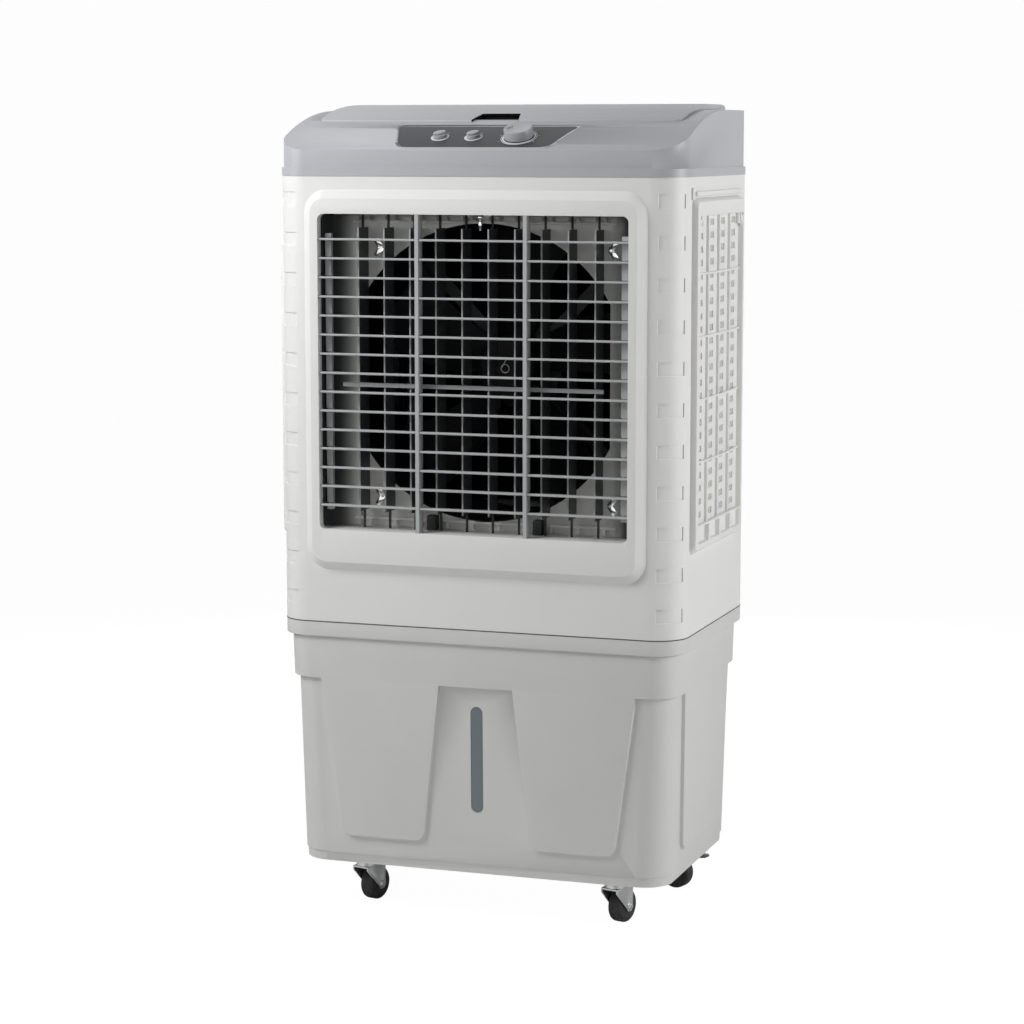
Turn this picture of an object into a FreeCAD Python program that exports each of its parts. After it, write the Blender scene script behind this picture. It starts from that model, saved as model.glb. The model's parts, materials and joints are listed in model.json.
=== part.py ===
import FreeCAD, Part
import math
import os

# An evaporative air cooler on casters, in millimetres.
# +X is to the right, the front faces -Y, and +Z is up from the floor at Z = 0.
# The origin is on the floor, under the middle of the housing.

V = FreeCAD.Vector

# Casing
CASE_W = 620.0
CASE_D = 384.0
CASE_CORNER_R = 48.0
WALL = 3.0
HOUSING_H = 654.0
LIP_H = 8.0
LIP_T = 2.6
LIP_GAP = 0.4

# Water tank
TANK_BOTTOM_Z = 72.0
TANK_H = 366.0
TANK_RIM_H = 22.0
TANK_TOP_Z = TANK_BOTTOM_Z + TANK_H
RIM_Z = TANK_TOP_Z - TANK_RIM_H
HOUSING_TOP_Z = TANK_TOP_Z + HOUSING_H
FRONT_Y = -CASE_D / 2
BACK_Y = CASE_D / 2
SIDE_X = CASE_W / 2
TANK_BASE_BAND_H = 14.0
TANK_BASE_BAND_INSET = 2.0
TANK_NARROWER = 46.0
TANK_FOOT_W = CASE_W - TANK_NARROWER
TANK_SHALLOWER = 34.0
TANK_FOOT_D = CASE_D - TANK_SHALLOWER
TANK_DRAFT_W = 17.0
TANK_DRAFT_D = 12.0
RELIEF_H = 6.0
RELIEF_EXTRA_TOP_W = 1.0
TOOTH_TOP_Z = 352.0
TOOTH_BOTTOM_Z = 115.0
TOOTH_INNER_X = 57.0
TOOTH_OUTER_X = 243.0
TOOTH_INNER_LEAN = 26.0
TOOTH_OUTER_LEAN = 32.0
TOOTH_R = 18.0
SIDE_TOOTH_HALF = 120.0
SIDE_TOOTH_LEAN = 14.0

# Level window in the tank's front
WINDOW_W = 19.0
WINDOW_Z0 = 164.0
WINDOW_Z1 = 323.0
WINDOW_GAP = 0.2
WINDOW_FLANGE = 4.0
WINDOW_FLANGE_T = 2.0
WINDOW_SINK = 0.6

# Drain plug at the back of the tank
DRAIN_Z = 106.0
DRAIN_BOSS_R = 18.0
DRAIN_BOSS_H = 5.0
DRAIN_HOLE_R = 9.2
DRAIN_GAP = 0.2
DRAIN_SHANK_L = 14.0
DRAIN_HEAD_R = 15.0
DRAIN_HEAD_H = 4.0
DRAIN_GRIP_H = 6.0
DRAIN_GRIP_T = 6.0

# Air outlet bezel on the housing's front
OUTLET_W = 470.0
OUTLET_MARGINS = 194.0
OUTLET_H = HOUSING_H - OUTLET_MARGINS
OUTLET_TOP_MARGIN = 54.0
OUTLET_Z = HOUSING_TOP_Z - OUTLET_TOP_MARGIN - OUTLET_H / 2
OUTLET_R = 9.0
BEZEL_BORDERS_W = 50.0
BEZEL_W = OUTLET_W + BEZEL_BORDERS_W
BEZEL_BORDERS_H = 96.0
BEZEL_H = OUTLET_H + BEZEL_BORDERS_H
BEZEL_DROP = 13.0
BEZEL_Z = OUTLET_Z - BEZEL_DROP
BEZEL_R = 35.0
BEZEL_T = 12.0
BEZEL_CHAMFER = 13.0
BEZEL_BOX_T = 3.0
BEZEL_BOX_D = 46.0
BEZEL_FIT = 1.0
MULLION_FROM_SIDE = 153.0
MULLION_X = OUTLET_W / 2 - MULLION_FROM_SIDE
MULLION_T = 5.5
MULLION_FRONT_SINK = 1.0
MULLION_D = 17.2

# Horizontal louvre blades and their tie bars
BLADES = 15
BLADE_END_MARGIN = 36.1
BLADE_PITCH = (OUTLET_H - 2 * BLADE_END_MARGIN) / (BLADES - 1)
BLADE_DROP = 0.5
BLADE_MID_Z = OUTLET_Z - BLADE_DROP
BLADE_SET_BACK = 2.5
BLADE_AXIS_Y = FRONT_Y + BLADE_SET_BACK
BLADE_FRONT = 12.5
BLADE_REAR = 2.2
BLADE_T = 3.3
BLADE_NOSE_T = 1.4
BLADE_NOSE_L = 1.2
BLADE_TAIL_T = 1.8
BLADE_END_GAP = 0.6
BLADE_NECK_D = 2.0
BLADE_NECK_GAP = 0.6
BLADE_NECK_SLOT_H = 4.8
BLADE_SIDE_GAP = 0.6
BLADE_PIN_R = 1.5
BLADE_PIN_L = 3.1
BEARING_GAP = 0.3
PIN_CLEARANCE = 0.05
PIN_SIDES = 6
LAND_RATIO = 0.86
CRANK_R = 7.1
CRANK_W = 6.0
CRANK_SLOT_H = 4.1
CRANK_SLOT_GAP = 0.9
TIE_FROM_SIDE = 10.0
TIE_X = OUTLET_W / 2 - TIE_FROM_SIDE
TIE_W = 9.4
TIE_GAP = 0.7
TIE_T = 6.6
TIE_END = 8.0

# Upright swing vanes and their link bar
VANES = 10
VANE_SIDE_MARGIN = 55.0
VANE_PITCH = (OUTLET_W - 2 * VANE_SIDE_MARGIN) / (VANES - 1)
VANE_SET_BACK = 29.0
VANE_AXIS_Y = FRONT_Y + VANE_SET_BACK
VANE_CHORD = 38.0
VANE_T = 2.0
VANE_END_GAP = 1.5
VANE_NECK_W = 12.0
VANE_NECK_H = 13.0
VANE_PIN_R = 2.0
VANE_PIN_L = 4.0
LINK_DROP = 18.0
LINK_Z = OUTLET_Z - LINK_DROP
LINK_H = 6.0
LINK_CRANK_R = 16.5
LINK_PIN_R = 1.3
LINK_SLOT_GAP = 0.3
LINK_FRONT = 2.6
LINK_REAR = 2.5
LINK_WEB = 1.0
LINK_END = 25.0
LINK_NOTCH_H = 11.0
LINK_NOTCH_D = 9.0

# Fan shroud: skirt, plate with the orifice, duct and motor spider
FAN_Z = OUTLET_Z
SHROUD_MARGIN = 17.0
SHROUD_W = OUTLET_W + 2 * SHROUD_MARGIN
SHROUD_H = OUTLET_H + 2 * SHROUD_MARGIN
SHROUD_R = 15.0
SHROUD_WALL = 2.5
SHROUD_SET_BACK = 49.0
SHROUD_PLATE_Y = FRONT_Y + SHROUD_SET_BACK
ORIFICE_MARGIN = 14.0
ORIFICE_R = min(OUTLET_W, OUTLET_H) / 2 - ORIFICE_MARGIN
DUCT_T = 3.0
DUCT_D = 175.0
SPIDER_T = 10.0
SPIDER_ARM_W = 18.0
SPIDER_RING_R = 66.0
SPIDER_BORE_R = 20.0
DUCT_REAR_Y = SHROUD_PLATE_Y + DUCT_D

# Fan, its shaft and its motor
FAN_BLADES = 5
FAN_TIP_GAP = 7.0
FAN_TIP_R = ORIFICE_R - FAN_TIP_GAP
FAN_T = 3.0
FAN_DEPTH = 126.0
FAN_MID_Y = SHROUD_PLATE_Y + FAN_DEPTH
HUB_R = 48.0
HUB_L = 66.0
HUB_FRONT_Y = FAN_MID_Y - HUB_L / 2
HUB_DOME = 14.0
ROOT_CHORD = 62.0
TIP_CHORD = 128.0
FAN_PITCH = 34.0
SHAFT_R = 6.0
SHAFT_IN_MOTOR = 26.0
SHAFT_END_Y = DUCT_REAR_Y + SHAFT_IN_MOTOR
MOTOR_R = 62.0
MOTOR_L = 84.0
MOTOR_BOSS_L = 8.0
MOTOR_BOSS_GAP = 0.3

# Cooling pads, their intake grilles and the water distributor
PAD_T = 36.0
PAD_FOOT = 147.0
PAD_Z0 = TANK_TOP_Z + PAD_FOOT
PAD_MARGINS_H = 204.0
PAD_H = HOUSING_H - PAD_MARGINS_H
PAD_GAP = 1.0
PAD_SEAT_GAP = 0.3
SIDE_PAD_SET_BACK = 71.0
SIDE_PAD_Y0 = FRONT_Y + SIDE_PAD_SET_BACK
SIDE_PAD_MARGINS = 160.0
SIDE_PAD_W = CASE_D - SIDE_PAD_MARGINS
REAR_PAD_MARGINS = 168.0
REAR_PAD_W = CASE_W - REAR_PAD_MARGINS
GRILLE_T = 9.0
REAR_GRILLE_T = 12.0
GRILLE_CHAMFER = 5.0
GRILLE_R = 10.0
GRILLE_BELOW_PAD = 29.0
GRILLE_Z0 = PAD_Z0 - GRILLE_BELOW_PAD
GRILLE_BORDERS_H = 57.0
GRILLE_H = PAD_H + GRILLE_BORDERS_H
GRILLE_TOP_MARGIN = 26.0
GRILLE_FOOT_MARGIN = 41.0
SIDE_GRILLE_BEFORE_PAD = 29.0
SIDE_GRILLE_Y0 = SIDE_PAD_Y0 - SIDE_GRILLE_BEFORE_PAD
SIDE_GRILLE_BORDERS = 44.0
SIDE_GRILLE_W = SIDE_PAD_W + SIDE_GRILLE_BORDERS
SIDE_GRILLE_FRONT_MARGIN = 22.0
SIDE_GRILLE_REAR_MARGIN = 8.0
REAR_GRILLE_BORDERS = 48.0
REAR_GRILLE_W = REAR_PAD_W + REAR_GRILLE_BORDERS
REAR_GRILLE_MARGIN = 22.0
GRILLE_BAR_PITCH = 62.0
GRILLE_BAR_T = 3.0
GRILLE_BAR_D = 5.0
GRILLE_RAIL_PITCH = 89.5
GRILLE_RAIL_T = 3.0
GRILLE_RAIL_GAP = 0.5
GRILLE_RAILS = 4
GRILLE_SLAT_T = 1.6
GRILLE_SLAT_D = 2.5
GRILLE_SLATS = 2
GRILLE_POCKET_H = 22.0
GRILLE_POCKET_Z = 12.0
GRILLE_POCKET_GAP = 6.0
GRILLE_POCKET_D = 3.0
TROUGH_W = 44.0
TROUGH_H = 24.0
TROUGH_T = 2.0
TROUGH_GAP = 0.3
TROUGH_CORNER = 45.0

# Pump and riser hose
PUMP_FROM_SIDE = 70.0
PUMP_X = PUMP_FROM_SIDE - SIDE_X
PUMP_FROM_BACK = 44.0
PUMP_Y = BACK_Y - PUMP_FROM_BACK
PUMP_R = 22.0
PUMP_H = 58.0
PUMP_FOOT_R = 24.0
PUMP_FOOT_H = 12.0
PUMP_SPOUT_H = 15.0
HOSE_R = 5.5
HOSE_BORE_R = 3.5

# Recessed tiles down the two front corners
TILES = 11
TILE_MARGINS = 68.0
TILE_PITCH = (HOUSING_H - TILE_MARGINS) / (TILES - 1)
TILE_FIRST_RISE = 35.0
TILE_FIRST_Z = TANK_TOP_Z + TILE_FIRST_RISE
TILE_H = 20.0
TILE_DEPTH = 1.6
TILE_FROM_SIDE = 36.0
TILE_X = SIDE_X - TILE_FROM_SIDE
TILE_FROM_FRONT = 29.0
TILE_Y = FRONT_Y + TILE_FROM_FRONT

# Top cover: a band over the housing, then walls up to an arched top
COVER_BAND_H = 12.0
COVER_BAND_PROUD = 1.0
COVER_INSET = 2.0
COVER_TOP_H = 95.0
BAND_TOP_Z = HOUSING_TOP_Z + COVER_BAND_H
COVER_TOP_Z = HOUSING_TOP_Z + COVER_TOP_H
ARCH_R = 490.0
ARCH_APEX_SET_BACK = 232.0
ARCH_APEX_Y = FRONT_Y + ARCH_APEX_SET_BACK
LID_FROM_SIDE = 32.0
LID_HALF_W = SIDE_X - LID_FROM_SIDE
LID_FROM_FRONT = 102.0
LID_FRONT_Y = FRONT_Y + LID_FROM_FRONT
LID_FROM_BACK = 28.0
LID_REAR_Y = BACK_Y - LID_FROM_BACK
LID_CROWN = 9.0
LID_APEX_BEHIND = 20.0
LID_APEX_Y = ARCH_APEX_Y + LID_APEX_BEHIND
LID_EDGE_R = 9.0
LID_PLAN_R = 12.0
LID_T = 2.5
LID_LAP = 12.0
LID_LIP_GAP = 2.5
LID_LIP_T = 2.0
LID_LIP_H = 8.0
TRAY_RISE = 26.0
TRAY_FLOOR_Z = HOUSING_TOP_Z + TRAY_RISE
TRAY_T = 2.5
SLOPE_FACETS = 3
NOTCH_X = -2.0
NOTCH_HALF_W = 36.0
NOTCH_REAR_HALF_W = 29.0
NOTCH_D = 32.0
HINGE_FROM_SIDE = 100.0
HINGE_X = SIDE_X - HINGE_FROM_SIDE
HINGE_BEHIND_LID = 6.0
HINGE_Y = LID_REAR_Y + HINGE_BEHIND_LID
HINGE_RISE = 4.6
HINGE_R = 4.0
HINGE_PIN_R = 2.0
HINGE_LUG_L = 14.0
HINGE_LUG_R = 2.9
HINGE_EAR_T = 8.0
HINGE_EAR_GAP = 0.4

# Control panel let into the cover's slope
PANEL_REAR_SET_BACK = 77.0
PANEL_REAR_Y = FRONT_Y + PANEL_REAR_SET_BACK
PANEL_FRONT_SET_BACK = 7.5
PANEL_FRONT_Y = FRONT_Y + PANEL_FRONT_SET_BACK
PANEL_REAR_HALF_W = 138.0
PANEL_FRONT_HALF_W = 113.0
PANEL_X = -3.0
PANEL_R = 22.0
PANEL_REAR_R = 5.0
PANEL_T = 2.0
PANEL_PROUD = 0.5
PANEL_GAP = 0.2
PANEL_RIM_W = 5.0
PANEL_RIM_H = 0.9
SWITCH_SIZE = 22.0
SWITCH_H = 16.0
SWITCH_GAP = 2.0
KNOB_SET_BACK = 38.0
KNOB_Y = FRONT_Y + KNOB_SET_BACK
SPEED_KNOB_X = 57.0
SPEED_KNOB_R = 21.5
SPEED_KNOB_H = 18.0
SWITCH_KNOB_XS = (-63.0, -12.0)
SWITCH_KNOB_R = 10.0
SWITCH_KNOB_H = 9.0
KNOB_LIFT = 1.0
KNOB_RIDGE_H = 2.5
KNOB_RIDGE_T = 0.28
KNOB_STEM_R = 3.0
KNOB_STEM_L = 9.0

# Cable gland in the housing's back wall
GLAND_FROM_SIDE = 95.0
GLAND_X = SIDE_X - GLAND_FROM_SIDE
GLAND_RISE = 32.0
GLAND_Z = TANK_TOP_Z + GLAND_RISE
GLAND_BORE_R = 4.2
GLAND_BODY_R = 9.0
GLAND_GAP = 0.2
GLAND_FLANGE_R = 14.0
GLAND_FLANGE_T = 4.0
GLAND_NECK_L = 7.0
GLAND_TAIL_L = 5.0

# Casters
FRONT_CASTER_FROM_SIDE = 114.0
FRONT_CASTER_FROM_FRONT = 68.0
REAR_CASTER_FROM_SIDE = 104.0
REAR_CASTER_FROM_BACK = 80.0
FRONT_CASTER = (SIDE_X - FRONT_CASTER_FROM_SIDE, FRONT_Y + FRONT_CASTER_FROM_FRONT)
REAR_CASTER = (SIDE_X - REAR_CASTER_FROM_SIDE, BACK_Y - REAR_CASTER_FROM_BACK)
FRONT_CASTER_TURN = 165.0
REAR_CASTER_TURN = 75.0
CASTER_TRAIL = 20.0
WHEEL_R = 25.0
WHEEL_W = 22.0
AXLE_R = 3.0
NUT_R = 5.0
FORK_GAP = 1.0
FORK_T = 2.0
FORK_CROWN_Z = 54.5
FORK_CROWN_T = 2.5
FORK_CROWN_R = 17.0
FORK_FOOT_R = 8.0
RACE_R = 16.0
RACE_GAP = 0.4
PLATE_T = 2.5
PLATE_SIZE = 58.0
PLATE_CORNER = 7.0
PLATE_RACE_H = 5.0
KINGPIN_R = 5.0
KINGPIN_TAIL = 1.5
HIDDEN_SIDES = 12
NUT_SIDES = 6
NUT_T = 2.5
PEDAL_PIVOT_U = 36.0
PEDAL_PIVOT_Z = 52.5
PEDAL_PIN_R = 2.0
PEDAL_HUB_R = 4.5
PEDAL_SIDE_GAP = 0.5
PEDAL_REACH = 74.0
PEDAL_T = 2.5
PEDAL_TIP_W = 22.0
PEDAL_TIP_CUT = 5.0
PEDAL_SHOE_GAP = 0.4
PEDAL_SHOE_ANGLE = 40.0
PEDAL_SHOE_L = 10.0
PEDAL_SHOE_T = 3.0

# Places worked out from the sizes above
BLADE_LOW_Z = BLADE_MID_Z - BLADE_PITCH * (BLADES - 1) / 2
TIE_FRONT_Y = BLADE_AXIS_Y + BLADE_REAR + TIE_GAP
LINK_PIN_Y = VANE_AXIS_Y - LINK_CRANK_R
VANE_FIRST_X = -VANE_PITCH * (VANES - 1) / 2
PAD_TOP_Z = PAD_Z0 + PAD_H


def block(x0, x1, y0, y1, z0, z1):
    """A box between two corners."""
    return Part.makeBox(x1 - x0, y1 - y0, z1 - z0, V(x0, y0, z0))


def rod(radius, start, end):
    """A round bar from one point to another."""
    axis = end - start
    return Part.makeCylinder(radius, axis.Length, start, axis)


def faceted(radius, start, end, sides, around=False):
    """A many-sided bar inside the circle of its radius, or around that circle when it cuts a bore."""
    axis = end - start
    side = V(1, 0, 0) if abs(axis.x) < abs(axis.z) + abs(axis.y) else V(0, 0, 1)
    across = axis.cross(side).normalize()
    up = axis.cross(across).normalize()
    reach = radius / math.cos(math.pi / sides) if around else radius
    points = []
    for i in range(sides):
        angle = 2 * math.pi * (i + 0.5) / sides
        points.append(start + across * (reach * math.cos(angle)) + up * (reach * math.sin(angle)))
    return Part.Face(Part.makePolygon(points + [points[0]])).extrude(axis)


def landed(radius, start, end):
    """A moulded pin: round where it bears, with four flats between."""
    return rod(radius, start, end).common(faceted(radius * LAND_RATIO, start, end, 4, True))


def join(*shapes):
    """One solid out of pieces that touch or overlap."""
    return shapes[0].multiFuse(list(shapes[1:])).removeSplitter()


def on_xy(z):
    """Places an outline's (u, v) on a level plane."""
    return lambda u, v: V(u, v, z)


def on_xz(y):
    """Places an outline's (u, v) on an upright plane that faces the front."""
    return lambda u, v: V(u, y, v)


def on_yz(x):
    """Places an outline's (u, v) on an upright plane that faces the side."""
    return lambda u, v: V(x, u, v)


def outline(corners, place):
    """A closed wire through corners (u, v, radius), each rounded to its radius."""
    starts = []
    ends = []
    mids = []
    count = len(corners)
    for i, (u, v, radius) in enumerate(corners):
        point = V(u, v, 0)
        if radius == 0:
            starts.append(point)
            mids.append(point)
            ends.append(point)
            continue
        before = V(corners[i - 1][0], corners[i - 1][1], 0) - point
        after = V(corners[(i + 1) % count][0], corners[(i + 1) % count][1], 0) - point
        half = before.getAngle(after) / 2
        before.normalize()
        after.normalize()
        setback = radius / math.tan(half)
        inward = (before + after).normalize()
        starts.append(point + before * setback)
        ends.append(point + after * setback)
        mids.append(point + inward * (radius / math.sin(half) - radius))
    edges = []
    for i in range(count):
        start, mid, end = (place(p.x, p.y) for p in (starts[i], mids[i], ends[i]))
        following = place(starts[(i + 1) % count].x, starts[(i + 1) % count].y)
        if corners[i][2] > 0:
            edges.append(Part.Arc(start, mid, end).toShape())
        if (following - end).Length > 1e-6:
            edges.append(Part.LineSegment(end, following).toShape())
    return Part.Wire(edges)


def rectangle(width, height, radius, u=0.0, v=0.0):
    """The corners of a rounded rectangle about (u, v)."""
    w, h = width / 2, height / 2
    return [(u - w, v - h, radius), (u + w, v - h, radius), (u + w, v + h, radius), (u - w, v + h, radius)]


def extrude(wire, path):
    """A solid swept from a closed wire along a straight path."""
    return Part.Face(wire).extrude(path)


def clipped(width, depth, cut, z0, z1):
    """An upright solid with a rectangular plan whose corners are cut straight."""
    w, d = width / 2, depth / 2
    corners = [
        (cut - w, -d, 0), (w - cut, -d, 0), (w, cut - d, 0), (w, d - cut, 0),
        (w - cut, d, 0), (cut - w, d, 0), (-w, d - cut, 0), (-w, cut - d, 0),
    ]
    return extrude(outline(corners, on_xy(z0)), V(0, 0, z1 - z0))


def column(width, depth, radius, z0, z1):
    """An upright solid with a rounded rectangular plan."""
    return extrude(outline(rectangle(width, depth, radius), on_xy(z0)), V(0, 0, z1 - z0))


def plate(width, height, radius, y0, y1, x=0.0, z=0.0):
    """A solid with a rounded rectangular face to the front."""
    return extrude(outline(rectangle(width, height, radius, x, z), on_xz(y0)), V(0, y1 - y0, 0))


def taper(lower, upper):
    """A solid between two closed wires of matching edges: flat sides, ruled corners."""
    faces = [Part.Face(lower), Part.Face(upper)]
    for low, high in zip(lower.OrderedEdges, upper.OrderedEdges):
        if isinstance(low.Curve, Part.Line):
            a, b = (v.Point for v in (low.firstVertex(True), low.lastVertex(True)))
            c, d = (v.Point for v in (high.lastVertex(True), high.firstVertex(True)))
            faces.append(Part.Face(Part.makePolygon([a, b, c, d, a])))
        else:
            faces.append(Part.makeRuledSurface(low, high))
    shell = Part.makeShell(faces)
    shell.sewShape()
    solid = Part.makeSolid(shell.Shells[0] if shell.ShapeType == "Compound" else shell)
    return solid if solid.Volume > 0 else solid.reversed()


def mirrored(shape):
    """The same solid on the other side of the middle plane."""
    return shape.mirror(V(0, 0, 0), V(1, 0, 0))


def lean_ratio(z):
    """How far up the tank's drafted walls a level lies, from 0 at the foot to 1 at the rim."""
    return (z - TANK_BOTTOM_Z) / (RIM_Z - TANK_BOTTOM_Z)


def tank_walls(grow, inset, z0):
    """The tank's drafted walls, grown by the relief or set in by a wall, up to the rim band."""
    wires = []
    for z in (z0, RIM_Z + inset):
        width = TANK_FOOT_W + TANK_DRAFT_W * lean_ratio(z) + 2 * grow - 2 * inset
        depth = TANK_FOOT_D + TANK_DRAFT_D * lean_ratio(z) + 2 * grow - 2 * inset
        radius = CASE_CORNER_R - WALL - inset
        wires.append(outline(rectangle(width, depth, radius), on_xy(z)))
    return taper(wires[0], wires[1])


def tooth_mask():
    """Where the tank's walls are raised: a band all round with teeth that hang from it."""
    low = TOOTH_BOTTOM_Z
    high = TOOTH_TOP_Z
    reach = CASE_W
    front = [
        (TOOTH_INNER_X, high, 0),
        (TOOTH_INNER_X + TOOTH_INNER_LEAN, low, TOOTH_R),
        (TOOTH_OUTER_X - TOOTH_OUTER_LEAN, low, TOOTH_R),
        (TOOTH_OUTER_X, high, 0),
    ]
    side = [
        (-SIDE_TOOTH_HALF, high, 0),
        (-SIDE_TOOTH_HALF + SIDE_TOOTH_LEAN, low, TOOTH_R),
        (SIDE_TOOTH_HALF - SIDE_TOOTH_LEAN, low, TOOTH_R),
        (SIDE_TOOTH_HALF, high, 0),
    ]
    tooth = extrude(outline(front, on_xz(-reach)), V(0, 2 * reach, 0))
    flank = extrude(outline(side, on_yz(-reach)), V(2 * reach, 0, 0))
    band = block(-reach, reach, -reach, reach, high, RIM_Z)
    return join(band, tooth, mirrored(tooth), flank)


def tank_rim(inset):
    """The rim band's form, set in by a wall for the cavity."""
    return column(CASE_W - 2 * inset, CASE_D - 2 * inset, CASE_CORNER_R - inset, RIM_Z + inset, TANK_TOP_Z)


def ring_lip(z0, z1, root_z0, root_z1):
    """A locating lip inside a joint of the casing, with the root that ties it to the wall."""
    inner_w = CASE_W - 2 * WALL
    inner_d = CASE_D - 2 * WALL
    cut = CASE_CORNER_R
    lip = clipped(inner_w - 2 * LIP_GAP, inner_d - 2 * LIP_GAP, cut, z0, z1)
    root = clipped(inner_w + WALL, inner_d + WALL, cut, root_z0, root_z1)
    trim = LIP_GAP + LIP_T
    hollow = clipped(inner_w - 2 * trim, inner_d - 2 * trim, cut, min(z0, root_z0), max(z1, root_z1))
    return join(lip, root).cut(hollow)


def drain_wall_y():
    """The tank's back face at the drain's height."""
    return (TANK_FOOT_D + TANK_DRAFT_D * lean_ratio(DRAIN_Z)) / 2


def slot_bar(width, y0, y1):
    """An upright bar with round ends, as the window is seen from the front."""
    height = WINDOW_Z1 - WINDOW_Z0 + width - WINDOW_W
    middle = (WINDOW_Z0 + WINDOW_Z1) / 2
    return plate(width, height, width / 2 - 0.01, y0, y1, 0.0, middle)


def water_tank():
    """The tank: a drafted tub with raised teeth, a rim band, a base band and a drain boss."""
    relief = tank_walls(RELIEF_H, 0, TANK_BOTTOM_Z).common(tooth_mask())
    outside = join(tank_walls(0, 0, TANK_BOTTOM_Z), relief, tank_rim(0))
    cavity = join(tank_walls(0, WALL, TANK_BOTTOM_Z + WALL), tank_rim(WALL))
    shell = outside.cut(cavity)
    base_groove = tank_walls(0, 0, TANK_BOTTOM_Z).cut(tank_walls(0, TANK_BASE_BAND_INSET, TANK_BOTTOM_Z))
    band = block(-CASE_W, CASE_W, -CASE_D, CASE_D, TANK_BOTTOM_Z, TANK_BOTTOM_Z + TANK_BASE_BAND_H)
    shell = shell.cut(base_groove.common(band))
    lip = ring_lip(TANK_TOP_Z, TANK_TOP_Z + LIP_H, TANK_TOP_Z - LIP_H, TANK_TOP_Z)
    wall_y = drain_wall_y()
    boss = faceted(DRAIN_BOSS_R, V(0, wall_y - WALL, DRAIN_Z), V(0, wall_y + DRAIN_BOSS_H, DRAIN_Z), 2 * HIDDEN_SIDES)
    hole = faceted(DRAIN_HOLE_R, V(0, wall_y - 4 * WALL, DRAIN_Z), V(0, wall_y + 4 * WALL, DRAIN_Z), HIDDEN_SIDES)
    window = slot_bar(WINDOW_W, FRONT_Y, FRONT_Y / 2)
    return join(shell, lip, boss).cut(hole).cut(window)


def level_window():
    """The clear strip in the tank's front, with a flange behind the wall."""
    foot_z = TANK_BOTTOM_Z
    skin = tank_walls(0, WINDOW_SINK, foot_z).cut(tank_walls(0, WALL, foot_z))
    pane = skin.common(slot_bar(WINDOW_W - 2 * WINDOW_GAP, FRONT_Y, FRONT_Y / 2))
    inner_skin = tank_walls(0, WALL, foot_z).cut(tank_walls(0, WALL + WINDOW_FLANGE_T, foot_z))
    flange = inner_skin.common(slot_bar(WINDOW_W + 2 * WINDOW_FLANGE, FRONT_Y, FRONT_Y / 2))
    return join(pane, flange)


def drain_plug():
    """The screw plug: a shank in the boss, a round head outside it and a bar to turn it by."""
    seat_y = drain_wall_y() + DRAIN_BOSS_H
    face_y = seat_y + DRAIN_HEAD_H
    head = faceted(DRAIN_HEAD_R, V(0, seat_y, DRAIN_Z), V(0, face_y, DRAIN_Z), 2 * HIDDEN_SIDES)
    shank = faceted(DRAIN_HOLE_R - DRAIN_GAP, V(0, seat_y - DRAIN_SHANK_L, DRAIN_Z), V(0, seat_y, DRAIN_Z), HIDDEN_SIDES)
    half = DRAIN_GRIP_T / 2
    grip = block(-DRAIN_HEAD_R + half, DRAIN_HEAD_R - half, seat_y, face_y + DRAIN_GRIP_H, DRAIN_Z - half, DRAIN_Z + half)
    return join(head, shank, grip)


def corner_tiles():
    """The shallow recesses cut down one front corner of the housing."""
    skin = column(CASE_W, CASE_D, CASE_CORNER_R, TANK_TOP_Z, HOUSING_TOP_Z)
    core = column(CASE_W - 2 * TILE_DEPTH, CASE_D - 2 * TILE_DEPTH, CASE_CORNER_R - TILE_DEPTH,
                  TANK_TOP_Z, HOUSING_TOP_Z)
    corner = skin.cut(core)
    tiles = []
    for i in range(TILES):
        z = TILE_FIRST_Z + i * TILE_PITCH
        tiles.append(block(TILE_X, CASE_W, -CASE_D, TILE_Y, z - TILE_H / 2, z + TILE_H / 2))
    return corner.common(Part.makeCompound(tiles))


def housing_shell():
    """The casing's upper shell, cut for the outlet, the three intakes, the tiles and the gland."""
    outer = column(CASE_W, CASE_D, CASE_CORNER_R, TANK_TOP_Z, HOUSING_TOP_Z)
    inner = column(CASE_W - 2 * WALL, CASE_D - 2 * WALL, CASE_CORNER_R - WALL, TANK_TOP_Z, HOUSING_TOP_Z)
    shell = outer.cut(inner)
    box_w = OUTLET_W + 2 * BEZEL_BOX_T + 2 * BEZEL_FIT
    box_h = OUTLET_H + 2 * BEZEL_BOX_T + 2 * BEZEL_FIT
    outlet = plate(box_w, box_h, OUTLET_R + BEZEL_BOX_T, -CASE_D, 0, 0.0, OUTLET_Z)
    side = block(-CASE_W, CASE_W, SIDE_PAD_Y0 - PAD_GAP, SIDE_PAD_Y0 + SIDE_PAD_W + PAD_GAP,
                 PAD_Z0 - PAD_GAP, PAD_TOP_Z + PAD_GAP)
    rear_half = REAR_PAD_W / 2 + PAD_GAP
    rear = block(-rear_half, rear_half, 0, CASE_D, PAD_Z0 - PAD_GAP, PAD_TOP_Z + PAD_GAP)
    gland = faceted(GLAND_BODY_R + GLAND_GAP, V(GLAND_X, BACK_Y - 2 * WALL, GLAND_Z), V(GLAND_X, CASE_D, GLAND_Z),
                    HIDDEN_SIDES)
    tiles = corner_tiles()
    return shell.cut([outlet, side, rear, gland, tiles, mirrored(tiles)])


def blade_z(index):
    """The height of a louvre blade's axis, counted from the lowest."""
    return BLADE_LOW_Z + index * BLADE_PITCH


def vane_x(index):
    """The place of a vane's axis, counted from the left."""
    return VANE_FIRST_X + index * VANE_PITCH


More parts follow.
